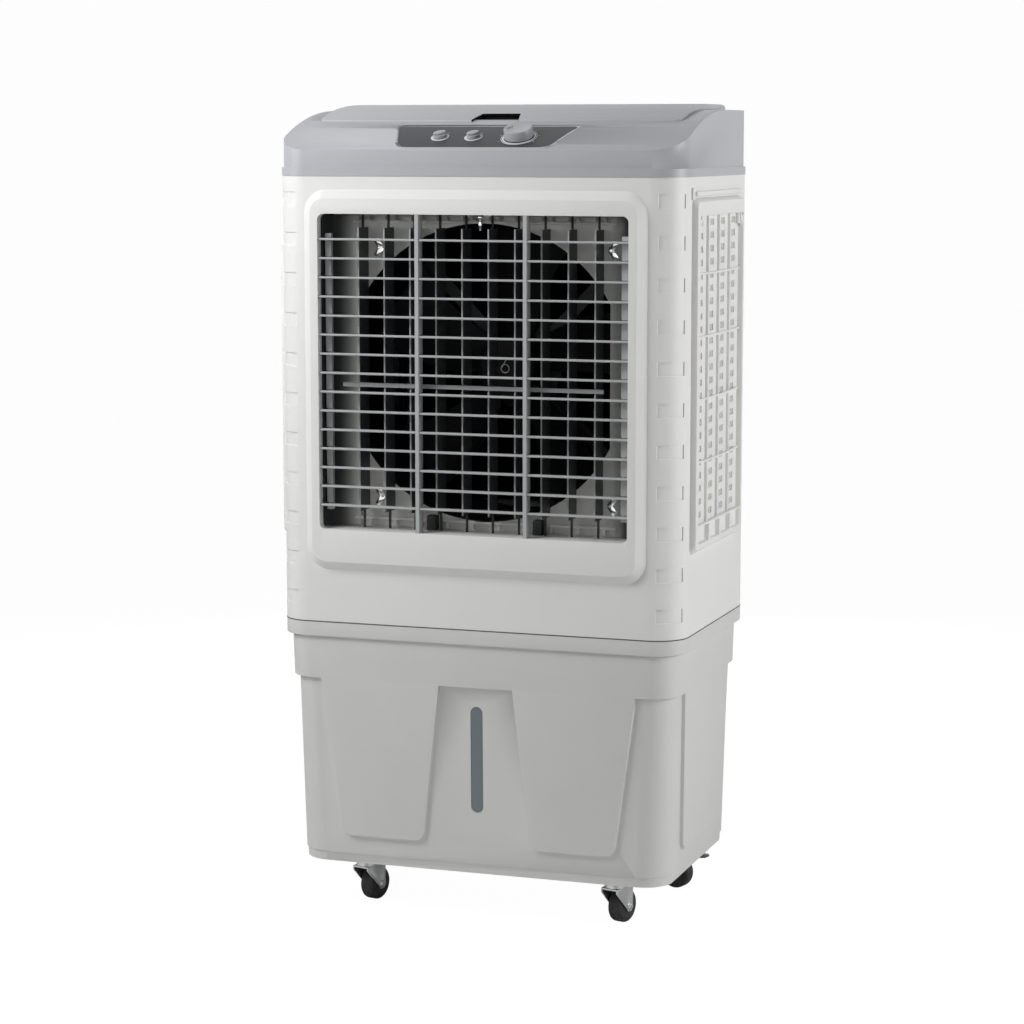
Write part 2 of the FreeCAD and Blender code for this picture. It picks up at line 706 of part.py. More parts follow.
def outlet_bezel():
    """The raised outlet frame, with a deep box behind it that carries the blades and vanes."""
    base = outline(rectangle(BEZEL_W, BEZEL_H, BEZEL_R, 0, BEZEL_Z), on_xz(FRONT_Y))
    face = outline(rectangle(BEZEL_W - 2 * BEZEL_CHAMFER, BEZEL_H - 2 * BEZEL_CHAMFER, BEZEL_R - BEZEL_CHAMFER,
                             0, BEZEL_Z), on_xz(FRONT_Y - BEZEL_T))
    frame = taper(base, face)
    rear_y = FRONT_Y + BEZEL_BOX_D
    box = plate(OUTLET_W + 2 * BEZEL_BOX_T, OUTLET_H + 2 * BEZEL_BOX_T, OUTLET_R + BEZEL_BOX_T,
                FRONT_Y, rear_y, 0.0, OUTLET_Z)
    opening = plate(OUTLET_W, OUTLET_H, OUTLET_R, FRONT_Y - 2 * BEZEL_T, rear_y, 0.0, OUTLET_Z)
    bezel = join(frame, box).cut(opening)
    half_h = OUTLET_H / 2 + BEZEL_BOX_T / 2
    front_y = FRONT_Y - BEZEL_T + MULLION_FRONT_SINK
    mullion = block(MULLION_X - MULLION_T / 2, MULLION_X + MULLION_T / 2, front_y, front_y + MULLION_D,
                    OUTLET_Z - half_h, OUTLET_Z + half_h)
    bezel = join(bezel, mullion, mirrored(mullion))
    return bezel.cut(blade_bearings() + vane_bearings())


def blade_bearings():
    """The square bearing holes in the box's sides and the neck slots in the mullions."""
    cuts = []
    half = BLADE_PIN_R + BEARING_GAP
    inner = OUTLET_W / 2 - BEZEL_BOX_T
    outer = OUTLET_W / 2 + 2 * BEZEL_BOX_T
    slot_y = BLADE_AXIS_Y - BLADE_NECK_D - BLADE_NECK_GAP
    for i in range(BLADES):
        z = blade_z(i)
        hole = block(inner, outer, BLADE_AXIS_Y - half, BLADE_AXIS_Y + half, z - half, z + half)
        slot = block(MULLION_X - MULLION_T, MULLION_X + MULLION_T, slot_y, FRONT_Y + MULLION_D,
                     z - BLADE_NECK_SLOT_H / 2, z + BLADE_NECK_SLOT_H / 2)
        cuts += [hole, mirrored(hole), slot, mirrored(slot)]
    return cuts


def vane_bearings():
    """The square bearing holes in the box's top and bottom."""
    cuts = []
    half = VANE_PIN_R + BEARING_GAP
    reach = BEZEL_BOX_T * 2
    for i in range(VANES):
        x = vane_x(i)
        for z in (OUTLET_Z - OUTLET_H / 2, OUTLET_Z + OUTLET_H / 2):
            cuts.append(block(x - half, x + half, VANE_AXIS_Y - half, VANE_AXIS_Y + half, z - reach, z + reach))
    return cuts


def louvre_blade(index):
    """One horizontal blade: a tapered section, necks at the mullions, end pins and crank tongues."""
    z = blade_z(index)
    half = OUTLET_W / 2 - BLADE_END_GAP
    nose_y = BLADE_AXIS_Y - BLADE_FRONT
    tail_y = BLADE_AXIS_Y + BLADE_REAR
    brow_y = nose_y + BLADE_NOSE_L
    rise = [(nose_y, BLADE_NOSE_T / 2), (brow_y, BLADE_T / 2), (tail_y, BLADE_TAIL_T / 2)]
    upper = [(y, z + up, 0) for y, up in rise]
    lower = [(y, z - up, 0) for y, up in reversed(rise)]
    blade = extrude(outline(upper + lower, on_yz(-half)), V(2 * half, 0, 0))
    gap_half = MULLION_T / 2 + BLADE_SIDE_GAP
    clear = block(MULLION_X - gap_half, MULLION_X + gap_half, nose_y - BLADE_T, BLADE_AXIS_Y - BLADE_NECK_D,
                  z - BLADE_T, z + BLADE_T)
    pin = landed(BLADE_PIN_R, V(half, BLADE_AXIS_Y, z), V(half + BLADE_PIN_L, BLADE_AXIS_Y, z))
    crank = block(TIE_X - CRANK_W / 2, TIE_X + CRANK_W / 2, tail_y - BLADE_TAIL_T, BLADE_AXIS_Y + CRANK_R,
                  z - BLADE_TAIL_T / 2, z + BLADE_TAIL_T / 2)
    return join(blade.cut([clear, mirrored(clear)]), pin, mirrored(pin), crank, mirrored(crank))


def louvre_tie_bars():
    """Two upright bars, each notched from the front for every blade's crank tongue."""
    low = blade_z(0) - TIE_END
    high = blade_z(BLADES - 1) + TIE_END
    slot_y = BLADE_AXIS_Y + CRANK_R + CRANK_SLOT_GAP
    bar = block(TIE_X - TIE_W / 2, TIE_X + TIE_W / 2, TIE_FRONT_Y, TIE_FRONT_Y + TIE_T, low, high)
    notches = []
    for i in range(BLADES):
        z = blade_z(i)
        notches.append(block(TIE_X - TIE_W, TIE_X + TIE_W, BLADE_AXIS_Y, slot_y,
                             z - CRANK_SLOT_H / 2, z + CRANK_SLOT_H / 2))
    bar = bar.cut(notches)
    return Part.makeCompound([bar, mirrored(bar)])


def swing_vane(index):
    """One upright vane: a plate with drawn-in ends, pivot pins and a notch with the link pin."""
    x = vane_x(index)
    high = OUTLET_Z + OUTLET_H / 2 - VANE_END_GAP
    low = OUTLET_Z - OUTLET_H / 2 + VANE_END_GAP
    half = VANE_CHORD / 2
    neck = VANE_NECK_W / 2
    y = VANE_AXIS_Y
    corners = [
        (y - neck, low, 0), (y + neck, low, 0), (y + half, low + VANE_NECK_H, 0),
        (y + half, high - VANE_NECK_H, 0), (y + neck, high, 0), (y - neck, high, 0),
        (y - half, high - VANE_NECK_H, 0), (y - half, low + VANE_NECK_H, 0),
    ]
    body = extrude(outline(corners, on_yz(x - VANE_T / 2)), V(VANE_T, 0, 0))
    notch_low = LINK_Z - LINK_NOTCH_H / 2
    notch_high = LINK_Z + LINK_NOTCH_H / 2
    notch = block(x - VANE_T, x + VANE_T, y - half - 1, y - half + LINK_NOTCH_D, notch_low, notch_high)
    pin = faceted(LINK_PIN_R, V(x, LINK_PIN_Y, notch_low), V(x, LINK_PIN_Y, notch_high), PIN_SIDES)
    upper = landed(VANE_PIN_R, V(x, y, high), V(x, y, high + VANE_PIN_L))
    lower = landed(VANE_PIN_R, V(x, y, low - VANE_PIN_L), V(x, y, low))
    return join(body.cut(notch), pin, upper, lower)


def vane_link_bar():
    """The level bar in the vanes' notches, slotted from behind for every link pin."""
    left = vane_x(0) - LINK_END
    right = vane_x(VANES - 1) + LINK_END - LINK_END / 2
    bar = block(left, right, LINK_PIN_Y - LINK_FRONT, LINK_PIN_Y + LINK_REAR, LINK_Z - LINK_H / 2, LINK_Z + LINK_H / 2)
    half = LINK_PIN_R + LINK_SLOT_GAP
    slots = []
    for i in range(VANES):
        x = vane_x(i)
        slots.append(block(x - half, x + half, LINK_PIN_Y - LINK_FRONT + LINK_WEB, LINK_PIN_Y + 2 * LINK_REAR,
                           LINK_Z - LINK_H, LINK_Z + LINK_H))
    return bar.cut(slots)


def fan_shroud():
    """Skirt, orifice plate, duct and the spider that holds the motor behind the fan."""
    front_y = FRONT_Y + WALL
    rear_y = SHROUD_PLATE_Y + SHROUD_WALL
    outer = plate(SHROUD_W, SHROUD_H, SHROUD_R, front_y, rear_y, 0.0, OUTLET_Z)
    inner = plate(SHROUD_W - 2 * SHROUD_WALL, SHROUD_H - 2 * SHROUD_WALL, SHROUD_R - SHROUD_WALL,
                  front_y, SHROUD_PLATE_Y, 0.0, OUTLET_Z)
    duct = rod(ORIFICE_R + DUCT_T, V(0, SHROUD_PLATE_Y, FAN_Z), V(0, DUCT_REAR_Y, FAN_Z))
    bore = rod(ORIFICE_R, V(0, SHROUD_PLATE_Y - 1, FAN_Z), V(0, DUCT_REAR_Y + 1, FAN_Z))
    shroud = join(outer.cut(inner), duct).cut(bore)
    spider_y = DUCT_REAR_Y - SPIDER_T
    ring = faceted(SPIDER_RING_R, V(0, spider_y, FAN_Z), V(0, DUCT_REAR_Y, FAN_Z), HIDDEN_SIDES)
    reach = ORIFICE_R + DUCT_T / 2
    arm = block(-reach, reach, spider_y, DUCT_REAR_Y, FAN_Z - SPIDER_ARM_W / 2, FAN_Z + SPIDER_ARM_W / 2)
    arms = []
    for angle in (45, 135):
        turned = arm.copy()
        turned.rotate(V(0, 0, FAN_Z), V(0, 1, 0), angle)
        arms.append(turned)
    hub_hole = rod(SPIDER_BORE_R, V(0, spider_y - 1, FAN_Z), V(0, DUCT_REAR_Y + 1, FAN_Z))
    return join(shroud, ring, *arms).cut(hub_hole)


def revolve(points, axis_start, axis):
    """A turned solid from a closed polygon of points."""
    return Part.Face(Part.makePolygon(points + [points[0]])).revolve(axis_start, axis, 360)


def fan_blade(angle):
    """One pitched fan blade, trimmed to the tip circle."""
    turn = math.radians(FAN_PITCH)
    along = V(math.cos(turn), math.sin(turn), 0)
    across = V(-math.sin(turn), math.cos(turn), 0) * (FAN_T / 2)
    root = V(0, FAN_MID_Y, FAN_Z + HUB_R - 4)
    tip = V(0, FAN_MID_Y, FAN_Z + FAN_TIP_R + 8)
    corners = [
        root - along * (ROOT_CHORD / 2), root + along * (ROOT_CHORD / 2),
        tip + along * (TIP_CHORD / 2), tip - along * (TIP_CHORD / 2),
    ]
    face = Part.Face(Part.makePolygon([c - across for c in corners + corners[:1]]))
    blade = face.extrude(across * 2)
    reach = ROOT_CHORD
    limit = rod(FAN_TIP_R, V(0, FAN_MID_Y - reach, FAN_Z), V(0, FAN_MID_Y + reach, FAN_Z))
    blade = blade.common(limit)
    blade.rotate(V(0, 0, FAN_Z), V(0, 1, 0), angle)
    return blade


def fan():
    """The moulded fan with its shaft."""
    rear_y = HUB_FRONT_Y + HUB_L
    profile = [
        V(0, HUB_FRONT_Y, FAN_Z), V(HUB_R * 0.7, HUB_FRONT_Y, FAN_Z), V(HUB_R, HUB_FRONT_Y + HUB_DOME, FAN_Z),
        V(HUB_R, rear_y, FAN_Z), V(0, rear_y, FAN_Z),
    ]
    hub = revolve(profile, V(0, 0, FAN_Z), V(0, 1, 0))
    blades = [fan_blade(360.0 * i / FAN_BLADES) for i in range(FAN_BLADES)]
    shaft = rod(SHAFT_R, V(0, rear_y - SHAFT_R, FAN_Z), V(0, SHAFT_END_Y, FAN_Z))
    return join(hub, shaft, *blades)


def fan_motor():
    """The motor behind the spider, with its bearing boss through the spider's ring."""
    front = V(0, DUCT_REAR_Y, FAN_Z)
    body = faceted(MOTOR_R, front, front + V(0, MOTOR_L, 0), 2 * HIDDEN_SIDES)
    boss = rod(SPIDER_BORE_R - MOTOR_BOSS_GAP, front - V(0, MOTOR_BOSS_L, 0), front)
    bore = rod(SHAFT_R + PIN_CLEARANCE, front - V(0, 2 * MOTOR_BOSS_L, 0), V(0, SHAFT_END_Y + 1, FAN_Z))
    return join(body, boss).cut(bore)


def cooling_pads():
    """Three corrugated pads, behind the two side grilles and the rear grille."""
    side_x1 = SIDE_X - PAD_SEAT_GAP
    side = block(side_x1 - PAD_T, side_x1, SIDE_PAD_Y0, SIDE_PAD_Y0 + SIDE_PAD_W, PAD_Z0, PAD_TOP_Z)
    rear_y1 = BACK_Y - PAD_SEAT_GAP
    rear = block(-REAR_PAD_W / 2, REAR_PAD_W / 2, rear_y1 - PAD_T, rear_y1, PAD_Z0, PAD_TOP_Z)
    return Part.makeCompound([side, mirrored(side), rear])


def intake_grille(left, width, left_margin, right_margin, thickness):
    """A grille seen from its outside: its back is on y = 0 and its face on y = -thickness."""
    u_mid = left + width / 2
    z_mid = GRILLE_Z0 + GRILLE_H / 2
    chamfer = GRILLE_CHAMFER
    base = outline(rectangle(width, GRILLE_H, GRILLE_R, u_mid, z_mid), on_xz(0.0))
    face = outline(rectangle(width - 2 * chamfer, GRILLE_H - 2 * chamfer, GRILLE_R - chamfer, u_mid, z_mid),
                   on_xz(-thickness))
    frame = taper(base, face)
    u0 = left + left_margin
    u1 = left + width - right_margin
    z0 = GRILLE_Z0 + GRILLE_FOOT_MARGIN
    z1 = GRILLE_Z0 + GRILLE_H - GRILLE_TOP_MARGIN
    frame = frame.cut(block(u0, u1, -2 * thickness, thickness, z0, z1))
    bars = []
    columns = round((u1 - u0) / GRILLE_BAR_PITCH)
    pitch = (u1 - u0) / columns
    for i in range(columns):
        u = u0 + i * pitch
        if i > 0:
            bars.append(block(u - GRILLE_BAR_T / 2, u + GRILLE_BAR_T / 2, -GRILLE_BAR_D, 0, z0 - 1, z1 + 1))
        for j in range(GRILLE_SLATS):
            s = u + pitch * (j + 1) / (GRILLE_SLATS + 1)
            bars.append(block(s - GRILLE_SLAT_T / 2, s + GRILLE_SLAT_T / 2, -GRILLE_SLAT_D, 0, z0 - 1, z1 + 1))
    rail_back = -GRILLE_BAR_D - GRILLE_RAIL_GAP
    for i in range(GRILLE_RAILS):
        z = z0 + (i + 1) * GRILLE_RAIL_PITCH
        bars.append(block(u0 - 1, u1 + 1, -thickness, rail_back, z - GRILLE_RAIL_T / 2, z + GRILLE_RAIL_T / 2))
    pockets = []
    pocket_z = GRILLE_Z0 + GRILLE_POCKET_Z
    for i in range(columns):
        u = u0 + i * pitch + GRILLE_POCKET_GAP / 2
        pockets.append(block(u, u + pitch - GRILLE_POCKET_GAP, -2 * thickness, -thickness + GRILLE_POCKET_D,
                             pocket_z, pocket_z + GRILLE_POCKET_H))
    return join(frame, *bars).cut(pockets)


def side_grille_right():
    """The intake grille on the right side."""
    grille = intake_grille(SIDE_GRILLE_Y0, SIDE_GRILLE_W, SIDE_GRILLE_FRONT_MARGIN, SIDE_GRILLE_REAR_MARGIN, GRILLE_T)
    grille.rotate(V(0, 0, 0), V(0, 0, 1), 90)
    grille.translate(V(SIDE_X, 0, 0))
    return grille


def rear_grille():
    """The intake grille on the back."""
    grille = intake_grille(-REAR_GRILLE_W / 2, REAR_GRILLE_W, REAR_GRILLE_MARGIN, REAR_GRILLE_MARGIN, REAR_GRILLE_T)
    grille.rotate(V(0, 0, 0), V(0, 0, 1), 180)
    grille.translate(V(0, BACK_Y, 0))
    return grille


def trough_plan(inset):
    """The plan of the water trough: a U over the three pads."""
    out_x = SIDE_X - WALL - TROUGH_GAP - inset
    out_y = BACK_Y - WALL - TROUGH_GAP - inset
    in_x = SIDE_X - WALL - TROUGH_GAP - TROUGH_W + inset
    in_y = BACK_Y - WALL - TROUGH_GAP - TROUGH_W + inset
    front_y = SIDE_PAD_Y0 + inset
    corner = TROUGH_CORNER
    return [
        (-out_x, front_y, 0), (-in_x, front_y, 0), (-in_x, in_y, 0), (in_x, in_y, 0), (in_x, front_y, 0),
        (out_x, front_y, 0), (out_x, out_y - corner, 0), (out_x - corner, out_y, 0),
        (-out_x + corner, out_y, 0), (-out_x, out_y - corner, 0),
    ]


def water_distributor():
    """The open trough that wets the pads, with the riser's inlet in its floor."""
    z0 = PAD_TOP_Z + TROUGH_GAP
    outer = extrude(outline(trough_plan(0.0), on_xy(z0)), V(0, 0, TROUGH_H))
    inner = extrude(outline(trough_plan(TROUGH_T), on_xy(z0 + TROUGH_T)), V(0, 0, TROUGH_H))
    inlet = faceted(HOSE_BORE_R, V(PUMP_X, PUMP_Y, z0 - 1), V(PUMP_X, PUMP_Y, z0 + 2 * TROUGH_T), HIDDEN_SIDES)
    return outer.cut([inner, inlet])


def water_pump():
    """The submersible pump on the tank's floor, with its strainer foot and spout."""
    z0 = TANK_BOTTOM_Z + WALL
    foot = faceted(PUMP_FOOT_R, V(PUMP_X, PUMP_Y, z0), V(PUMP_X, PUMP_Y, z0 + PUMP_FOOT_H), PIN_SIDES)
    body = faceted(PUMP_R, V(PUMP_X, PUMP_Y, z0), V(PUMP_X, PUMP_Y, z0 + PUMP_H), HIDDEN_SIDES)
    spout = faceted(HOSE_R, V(PUMP_X, PUMP_Y, z0 + PUMP_H), V(PUMP_X, PUMP_Y, z0 + PUMP_H + PUMP_SPOUT_H), HIDDEN_SIDES)
    return join(foot, body, spout)


def riser_hose():
    """The straight hose from the pump's spout up to the trough."""
    low = V(PUMP_X, PUMP_Y, TANK_BOTTOM_Z + WALL + PUMP_H + PUMP_SPOUT_H)
    high = V(PUMP_X, PUMP_Y, PAD_TOP_Z + TROUGH_GAP)
    return faceted(HOSE_R, low, high, HIDDEN_SIDES).cut(faceted(HOSE_BORE_R, low, high, HIDDEN_SIDES))


def arch_z(y, drop=0.0):
    """The height of the cover's top surface at a place between front and back."""
    if y >= ARCH_APEX_Y:
        return COVER_TOP_Z - drop
    return COVER_TOP_Z - drop - ARCH_R + math.sqrt(ARCH_R ** 2 - (y - ARCH_APEX_Y) ** 2)


def under_arch(apex_y, apex_z, radius, half_w, z_floor):
    """All that lies under an arched top: an arc at the front that runs level behind its apex."""
    front_y = -CASE_D
    back_y = CASE_D
    place = on_yz(-half_w)

    def height(y):
        return apex_z - radius + math.sqrt(radius ** 2 - (y - apex_y) ** 2)

    middle_y = (front_y + apex_y) / 2
    arc = Part.Arc(place(front_y, height(front_y)), place(middle_y, height(middle_y)), place(apex_y, apex_z))
    rest = [place(apex_y, apex_z), place(back_y, apex_z), place(back_y, z_floor), place(front_y, z_floor),
            place(front_y, height(front_y))]
    return extrude(Part.Wire([arc.toShape()] + Part.makePolygon(rest).Edges), V(2 * half_w, 0, 0))


def under_cover_top(drop):
    """All that lies under the cover's top surface lowered by a drop."""
    return under_arch(ARCH_APEX_Y, COVER_TOP_Z - drop, ARCH_R, CASE_W, HOUSING_TOP_Z - CASE_D)


def panel_corners(grow):
    """The control panel's outline, grown all round."""
    lean = (PANEL_REAR_HALF_W - PANEL_FRONT_HALF_W) / (PANEL_REAR_Y - PANEL_FRONT_Y)
    rear = PANEL_REAR_HALF_W + grow * (1 + lean)
    front = PANEL_FRONT_HALF_W + grow * (1 - lean)
    rear_y = PANEL_REAR_Y + grow
    front_y = PANEL_FRONT_Y - grow
    return [
        (PANEL_X - front, front_y, PANEL_R + grow), (PANEL_X + front, front_y, PANEL_R + grow),
        (PANEL_X + rear, rear_y, PANEL_REAR_R + grow), (PANEL_X - rear, rear_y, PANEL_REAR_R + grow),
    ]


def panel_prism(grow):
    """The control panel's outline carried straight up through the cover's top."""
    return extrude(outline(panel_corners(grow), on_xy(HOUSING_TOP_Z)), V(0, 0, 2 * COVER_TOP_H))


def knob_tilt():
    """The angle in degrees between the slope's normal at the knobs and straight up."""
    return math.degrees(math.asin((ARCH_APEX_Y - KNOB_Y) / ARCH_R))


def on_slope(shape, x):
    """Stands a shape, made on the origin along +Z, on the panel at a knob's place."""
    shape.rotate(V(0, 0, 0), V(1, 0, 0), knob_tilt())
    shape.translate(V(x, KNOB_Y, arch_z(KNOB_Y) + PANEL_PROUD))
    return shape


def knob_xs():
    """The places of the three knobs across the panel."""
    return SWITCH_KNOB_XS + (SPEED_KNOB_X,)


def notch_prism():
    """The finger notch at the lid's front edge, carried straight up."""
    rear_y = LID_FRONT_Y + NOTCH_D
    front_y = LID_FRONT_Y - NOTCH_D
    corners = [
        (NOTCH_X - NOTCH_HALF_W, front_y, 0), (NOTCH_X + NOTCH_HALF_W, front_y, 0),
        (NOTCH_X + NOTCH_HALF_W, LID_FRONT_Y, 0), (NOTCH_X + NOTCH_REAR_HALF_W, rear_y, 4),
        (NOTCH_X - NOTCH_REAR_HALF_W, rear_y, 4), (NOTCH_X - NOTCH_HALF_W, LID_FRONT_Y, 0),
    ]
    return extrude(outline(corners, on_xy(HOUSING_TOP_Z)), V(0, 0, 2 * COVER_TOP_H))


def hinge_z():
    """The height of the lid's hinge axis."""
    return COVER_TOP_Z + HINGE_RISE


def lid_opening(grow, z0, z1):
    """The opening under the lid, grown all round."""
    half = LID_HALF_W - LID_LAP + grow
    y0 = LID_FRONT_Y + LID_LAP - grow
    y1 = LID_REAR_Y - LID_LAP + grow
    return block(-half, half, y0, y1, z0, z1)


def slope_cavity(drop, half_w, front_y, back_y):
    """A flat-sided space that keeps a drop below the cover's top surface."""
    profile = [(front_y, HOUSING_TOP_Z, 0)]
    for i in range(SLOPE_FACETS + 1):
        y = front_y + (ARCH_APEX_Y - front_y) * i / SLOPE_FACETS
        profile.append((y, arch_z(y, drop), 0))
    profile += [(back_y, arch_z(back_y, drop), 0), (back_y, HOUSING_TOP_Z, 0)]
    return extrude(outline(profile, on_yz(-half_w)), V(2 * half_w, 0, 0))


def switch_bay():
    """The space through the cover's skin for the three switches."""
    xs = knob_xs()
    half = SWITCH_SIZE / 2 + SWITCH_GAP
    return on_slope(block(min(xs) - half, max(xs) + half, -half, half, -2 * SWITCH_H, SWITCH_H), 0.0)


def hinge_ear():
    """The right hinge ear on the cover, with the hole for the lid's pin."""
    x0 = HINGE_X + HINGE_LUG_L / 2 + HINGE_EAR_GAP
    x1 = x0 + HINGE_EAR_T
    z = hinge_z()
    ear = block(x0, x1, HINGE_Y - HINGE_R, HINGE_Y + HINGE_R, COVER_TOP_Z - 1, z + HINGE_R)
    hole = rod(HINGE_PIN_R + PIN_CLEARANCE, V(x0 - 1, HINGE_Y, z), V(x1 + 1, HINGE_Y, z))
    return ear.cut(hole)


def top_cover():
    """The cover: band, walls and arched top, with the tray under the lid and the hinge ears."""
    wide = CASE_W + 2 * COVER_BAND_PROUD
    deep = CASE_D + 2 * COVER_BAND_PROUD
    inset_w = CASE_W - 2 * COVER_INSET
    inset_d = CASE_D - 2 * COVER_INSET
    radius = CASE_CORNER_R - COVER_INSET
    high_z = HOUSING_TOP_Z + 2 * COVER_TOP_H
    band = column(wide, deep, CASE_CORNER_R + COVER_BAND_PROUD, HOUSING_TOP_Z, BAND_TOP_Z)
    walls = column(inset_w, inset_d, radius, HOUSING_TOP_Z, high_z).common(under_cover_top(0))
    inner_w = inset_w - 2 * WALL
    inner_d = inset_d - 2 * WALL
    inner = clipped(inner_w, inner_d, radius - WALL, HOUSING_TOP_Z, high_z)
    inner = inner.common(slope_cavity(WALL, inner_w / 2, -inner_d / 2, inner_d / 2))
    lip = ring_lip(HOUSING_TOP_Z - LIP_H, HOUSING_TOP_Z, HOUSING_TOP_Z, HOUSING_TOP_Z + LIP_H)
    tray = lid_opening(TRAY_T, TRAY_FLOOR_Z - TRAY_T, COVER_TOP_Z).common(under_cover_top(0))
    rim = panel_prism(PANEL_RIM_W).common(under_cover_top(-PANEL_RIM_H)).cut(under_cover_top(1))
    ear = hinge_ear()
    cover = join(join(band, walls).cut(inner), lip, tray, rim, ear, mirrored(ear))
    recess = panel_prism(PANEL_GAP).cut(under_cover_top(PANEL_T - PANEL_PROUD))
    return cover.cut([lid_opening(0, TRAY_FLOOR_Z, high_z), recess, switch_bay()])


def lid_form(inset):
    """The lid's crowned outside, or the same form set in by its thickness."""
    half = LID_HALF_W - inset
    y0 = LID_FRONT_Y + inset
    y1 = LID_REAR_Y - inset
    crown_z = COVER_TOP_Z + LID_CROWN - inset
    plan = outline(rectangle(2 * half, y1 - y0, LID_PLAN_R - inset, 0, (y0 + y1) / 2), on_xy(HOUSING_TOP_Z))
    body = extrude(plan, V(0, 0, 2 * COVER_TOP_H))
    body = body.common(under_arch(LID_APEX_Y, crown_z, ARCH_R, CASE_W, HOUSING_TOP_Z))
    edge = LID_EDGE_R - inset
    low = HOUSING_TOP_Z - COVER_TOP_H
    crown = [(-half, low, 0), (half, low, 0), (half, crown_z, edge), (-half, crown_z, edge)]
    side = [(y1 - CASE_W, low, 0), (y1, low, 0), (y1, crown_z, edge), (y1 - CASE_W, crown_z, 0)]
    body = body.common(extrude(outline(crown, on_xz(-CASE_D)), V(0, 2 * CASE_D, 0)))
    return body.common(extrude(outline(side, on_yz(-CASE_W)), V(2 * CASE_W, 0, 0)))


def lid_cavity(inset):
    """The flat-sided space inside the lid's crown."""
    half = LID_HALF_W - inset
    y0 = LID_FRONT_Y + inset
    y1 = LID_REAR_Y - inset
    high = COVER_TOP_Z + LID_CROWN - inset
    edge = LID_EDGE_R - inset / 2
    profile = [(y0, HOUSING_TOP_Z, 0)]
    for i in range(SLOPE_FACETS + 1):
        y = y0 + (LID_APEX_Y - y0) * i / SLOPE_FACETS
        profile.append((y, high - ARCH_R + math.sqrt(ARCH_R ** 2 - (y - LID_APEX_Y) ** 2), 0))
    profile += [(y1 - edge, high, 0), (y1, high - edge, 0), (y1, HOUSING_TOP_Z, 0)]
    body = extrude(outline(profile, on_yz(-half)), V(2 * half, 0, 0))
    crown = [
        (-half, HOUSING_TOP_Z, 0), (half, HOUSING_TOP_Z, 0), (half, high - edge, 0),
        (half - edge, high, 0), (edge - half, high, 0), (-half, high - edge, 0),
    ]
    body = body.common(extrude(outline(crown, on_xz(-CASE_D)), V(0, 2 * CASE_D, 0)))
    plan = clipped(2 * half, y1 - y0, LID_PLAN_R, HOUSING_TOP_Z, HOUSING_TOP_Z + 2 * COVER_TOP_H)
    plan.translate(V(0, (y0 + y1) / 2, 0))
    return body.common(plan)


def top_lid():
    """The lid: a crowned shell with a locating lip, a finger notch and two hinge lugs with pins."""
    shell = lid_form(0).cut(under_cover_top(0)).cut(lid_cavity(LID_T))
    high_z = HOUSING_TOP_Z + 2 * COVER_TOP_H
    outer = lid_opening(-LID_LIP_GAP, HOUSING_TOP_Z, high_z)
    inner = lid_opening(-LID_LIP_GAP - LID_LIP_T, HOUSING_TOP_Z, high_z)
    below = slope_cavity(LID_LIP_H, CASE_W / 2, LID_FRONT_Y, LID_REAR_Y)
    lip = outer.cut(inner).common(lid_cavity(LID_T / 2)).cut(below)
    lid = join(shell, lip).cut(notch_prism())
    z = hinge_z()
    x0 = HINGE_X - HINGE_LUG_L / 2
    x1 = HINGE_X + HINGE_LUG_L / 2
    lug = block(x0, x1, LID_REAR_Y - 3 * LID_T, HINGE_Y + HINGE_LUG_R, z - HINGE_LUG_R, z + HINGE_LUG_R)
    pin = rod(HINGE_PIN_R, V(x1 - 1, HINGE_Y, z), V(x1 + HINGE_EAR_T, HINGE_Y, z))
    return join(lid, lug, pin, mirrored(lug), mirrored(pin))


def control_panel():
    """The inlay in the slope, with the three rotary switches under it."""
    face = panel_prism(0).common(under_cover_top(-PANEL_PROUD)).cut(under_cover_top(PANEL_T - PANEL_PROUD))
    switches = []
    holes = []
    for x in knob_xs():
        half = SWITCH_SIZE / 2
        switches.append(on_slope(block(-half, half, -half, half, -SWITCH_H, -PANEL_T / 2), x))
        stem_r = KNOB_STEM_R + PIN_CLEARANCE
        low = V(0, 0, -KNOB_STEM_L - 1)
        holes.append(on_slope(faceted(stem_r, low, V(0, 0, KNOB_STEM_L), HIDDEN_SIDES, True), x))
    return join(face, *switches).cut(holes)


def knob(x, radius, height):
    """A round knob with a pointer ridge, on a stem that enters its switch."""
    skirt = faceted(radius, V(0, 0, KNOB_LIFT), V(0, 0, KNOB_LIFT + height), 2 * HIDDEN_SIDES)
    top = KNOB_LIFT + height
    thick = radius * KNOB_RIDGE_T
    ridge = block(-thick / 2, thick / 2, -radius * 0.85, radius * 0.85, top - 1, top + KNOB_RIDGE_H)
    stem = landed(KNOB_STEM_R, V(0, 0, -KNOB_STEM_L), V(0, 0, KNOB_LIFT))
    return on_slope(join(skirt, ridge, stem), x)


def cable_gland():
    """The gland in the back wall: flange outside, neck, and a tail inside the wall."""
    wall_y = BACK_Y - WALL
    body = faceted(GLAND_BODY_R, V(GLAND_X, wall_y - GLAND_TAIL_L, GLAND_Z),
                   V(GLAND_X, BACK_Y + GLAND_FLANGE_T + GLAND_NECK_L, GLAND_Z), HIDDEN_SIDES)
    flange = faceted(GLAND_FLANGE_R, V(GLAND_X, BACK_Y, GLAND_Z), V(GLAND_X, BACK_Y + GLAND_FLANGE_T, GLAND_Z),
                     2 * HIDDEN_SIDES)
    bore = rod(GLAND_BORE_R, V(GLAND_X, 0, GLAND_Z), V(GLAND_X, CASE_D, GLAND_Z))
    return join(body, flange).cut(bore)


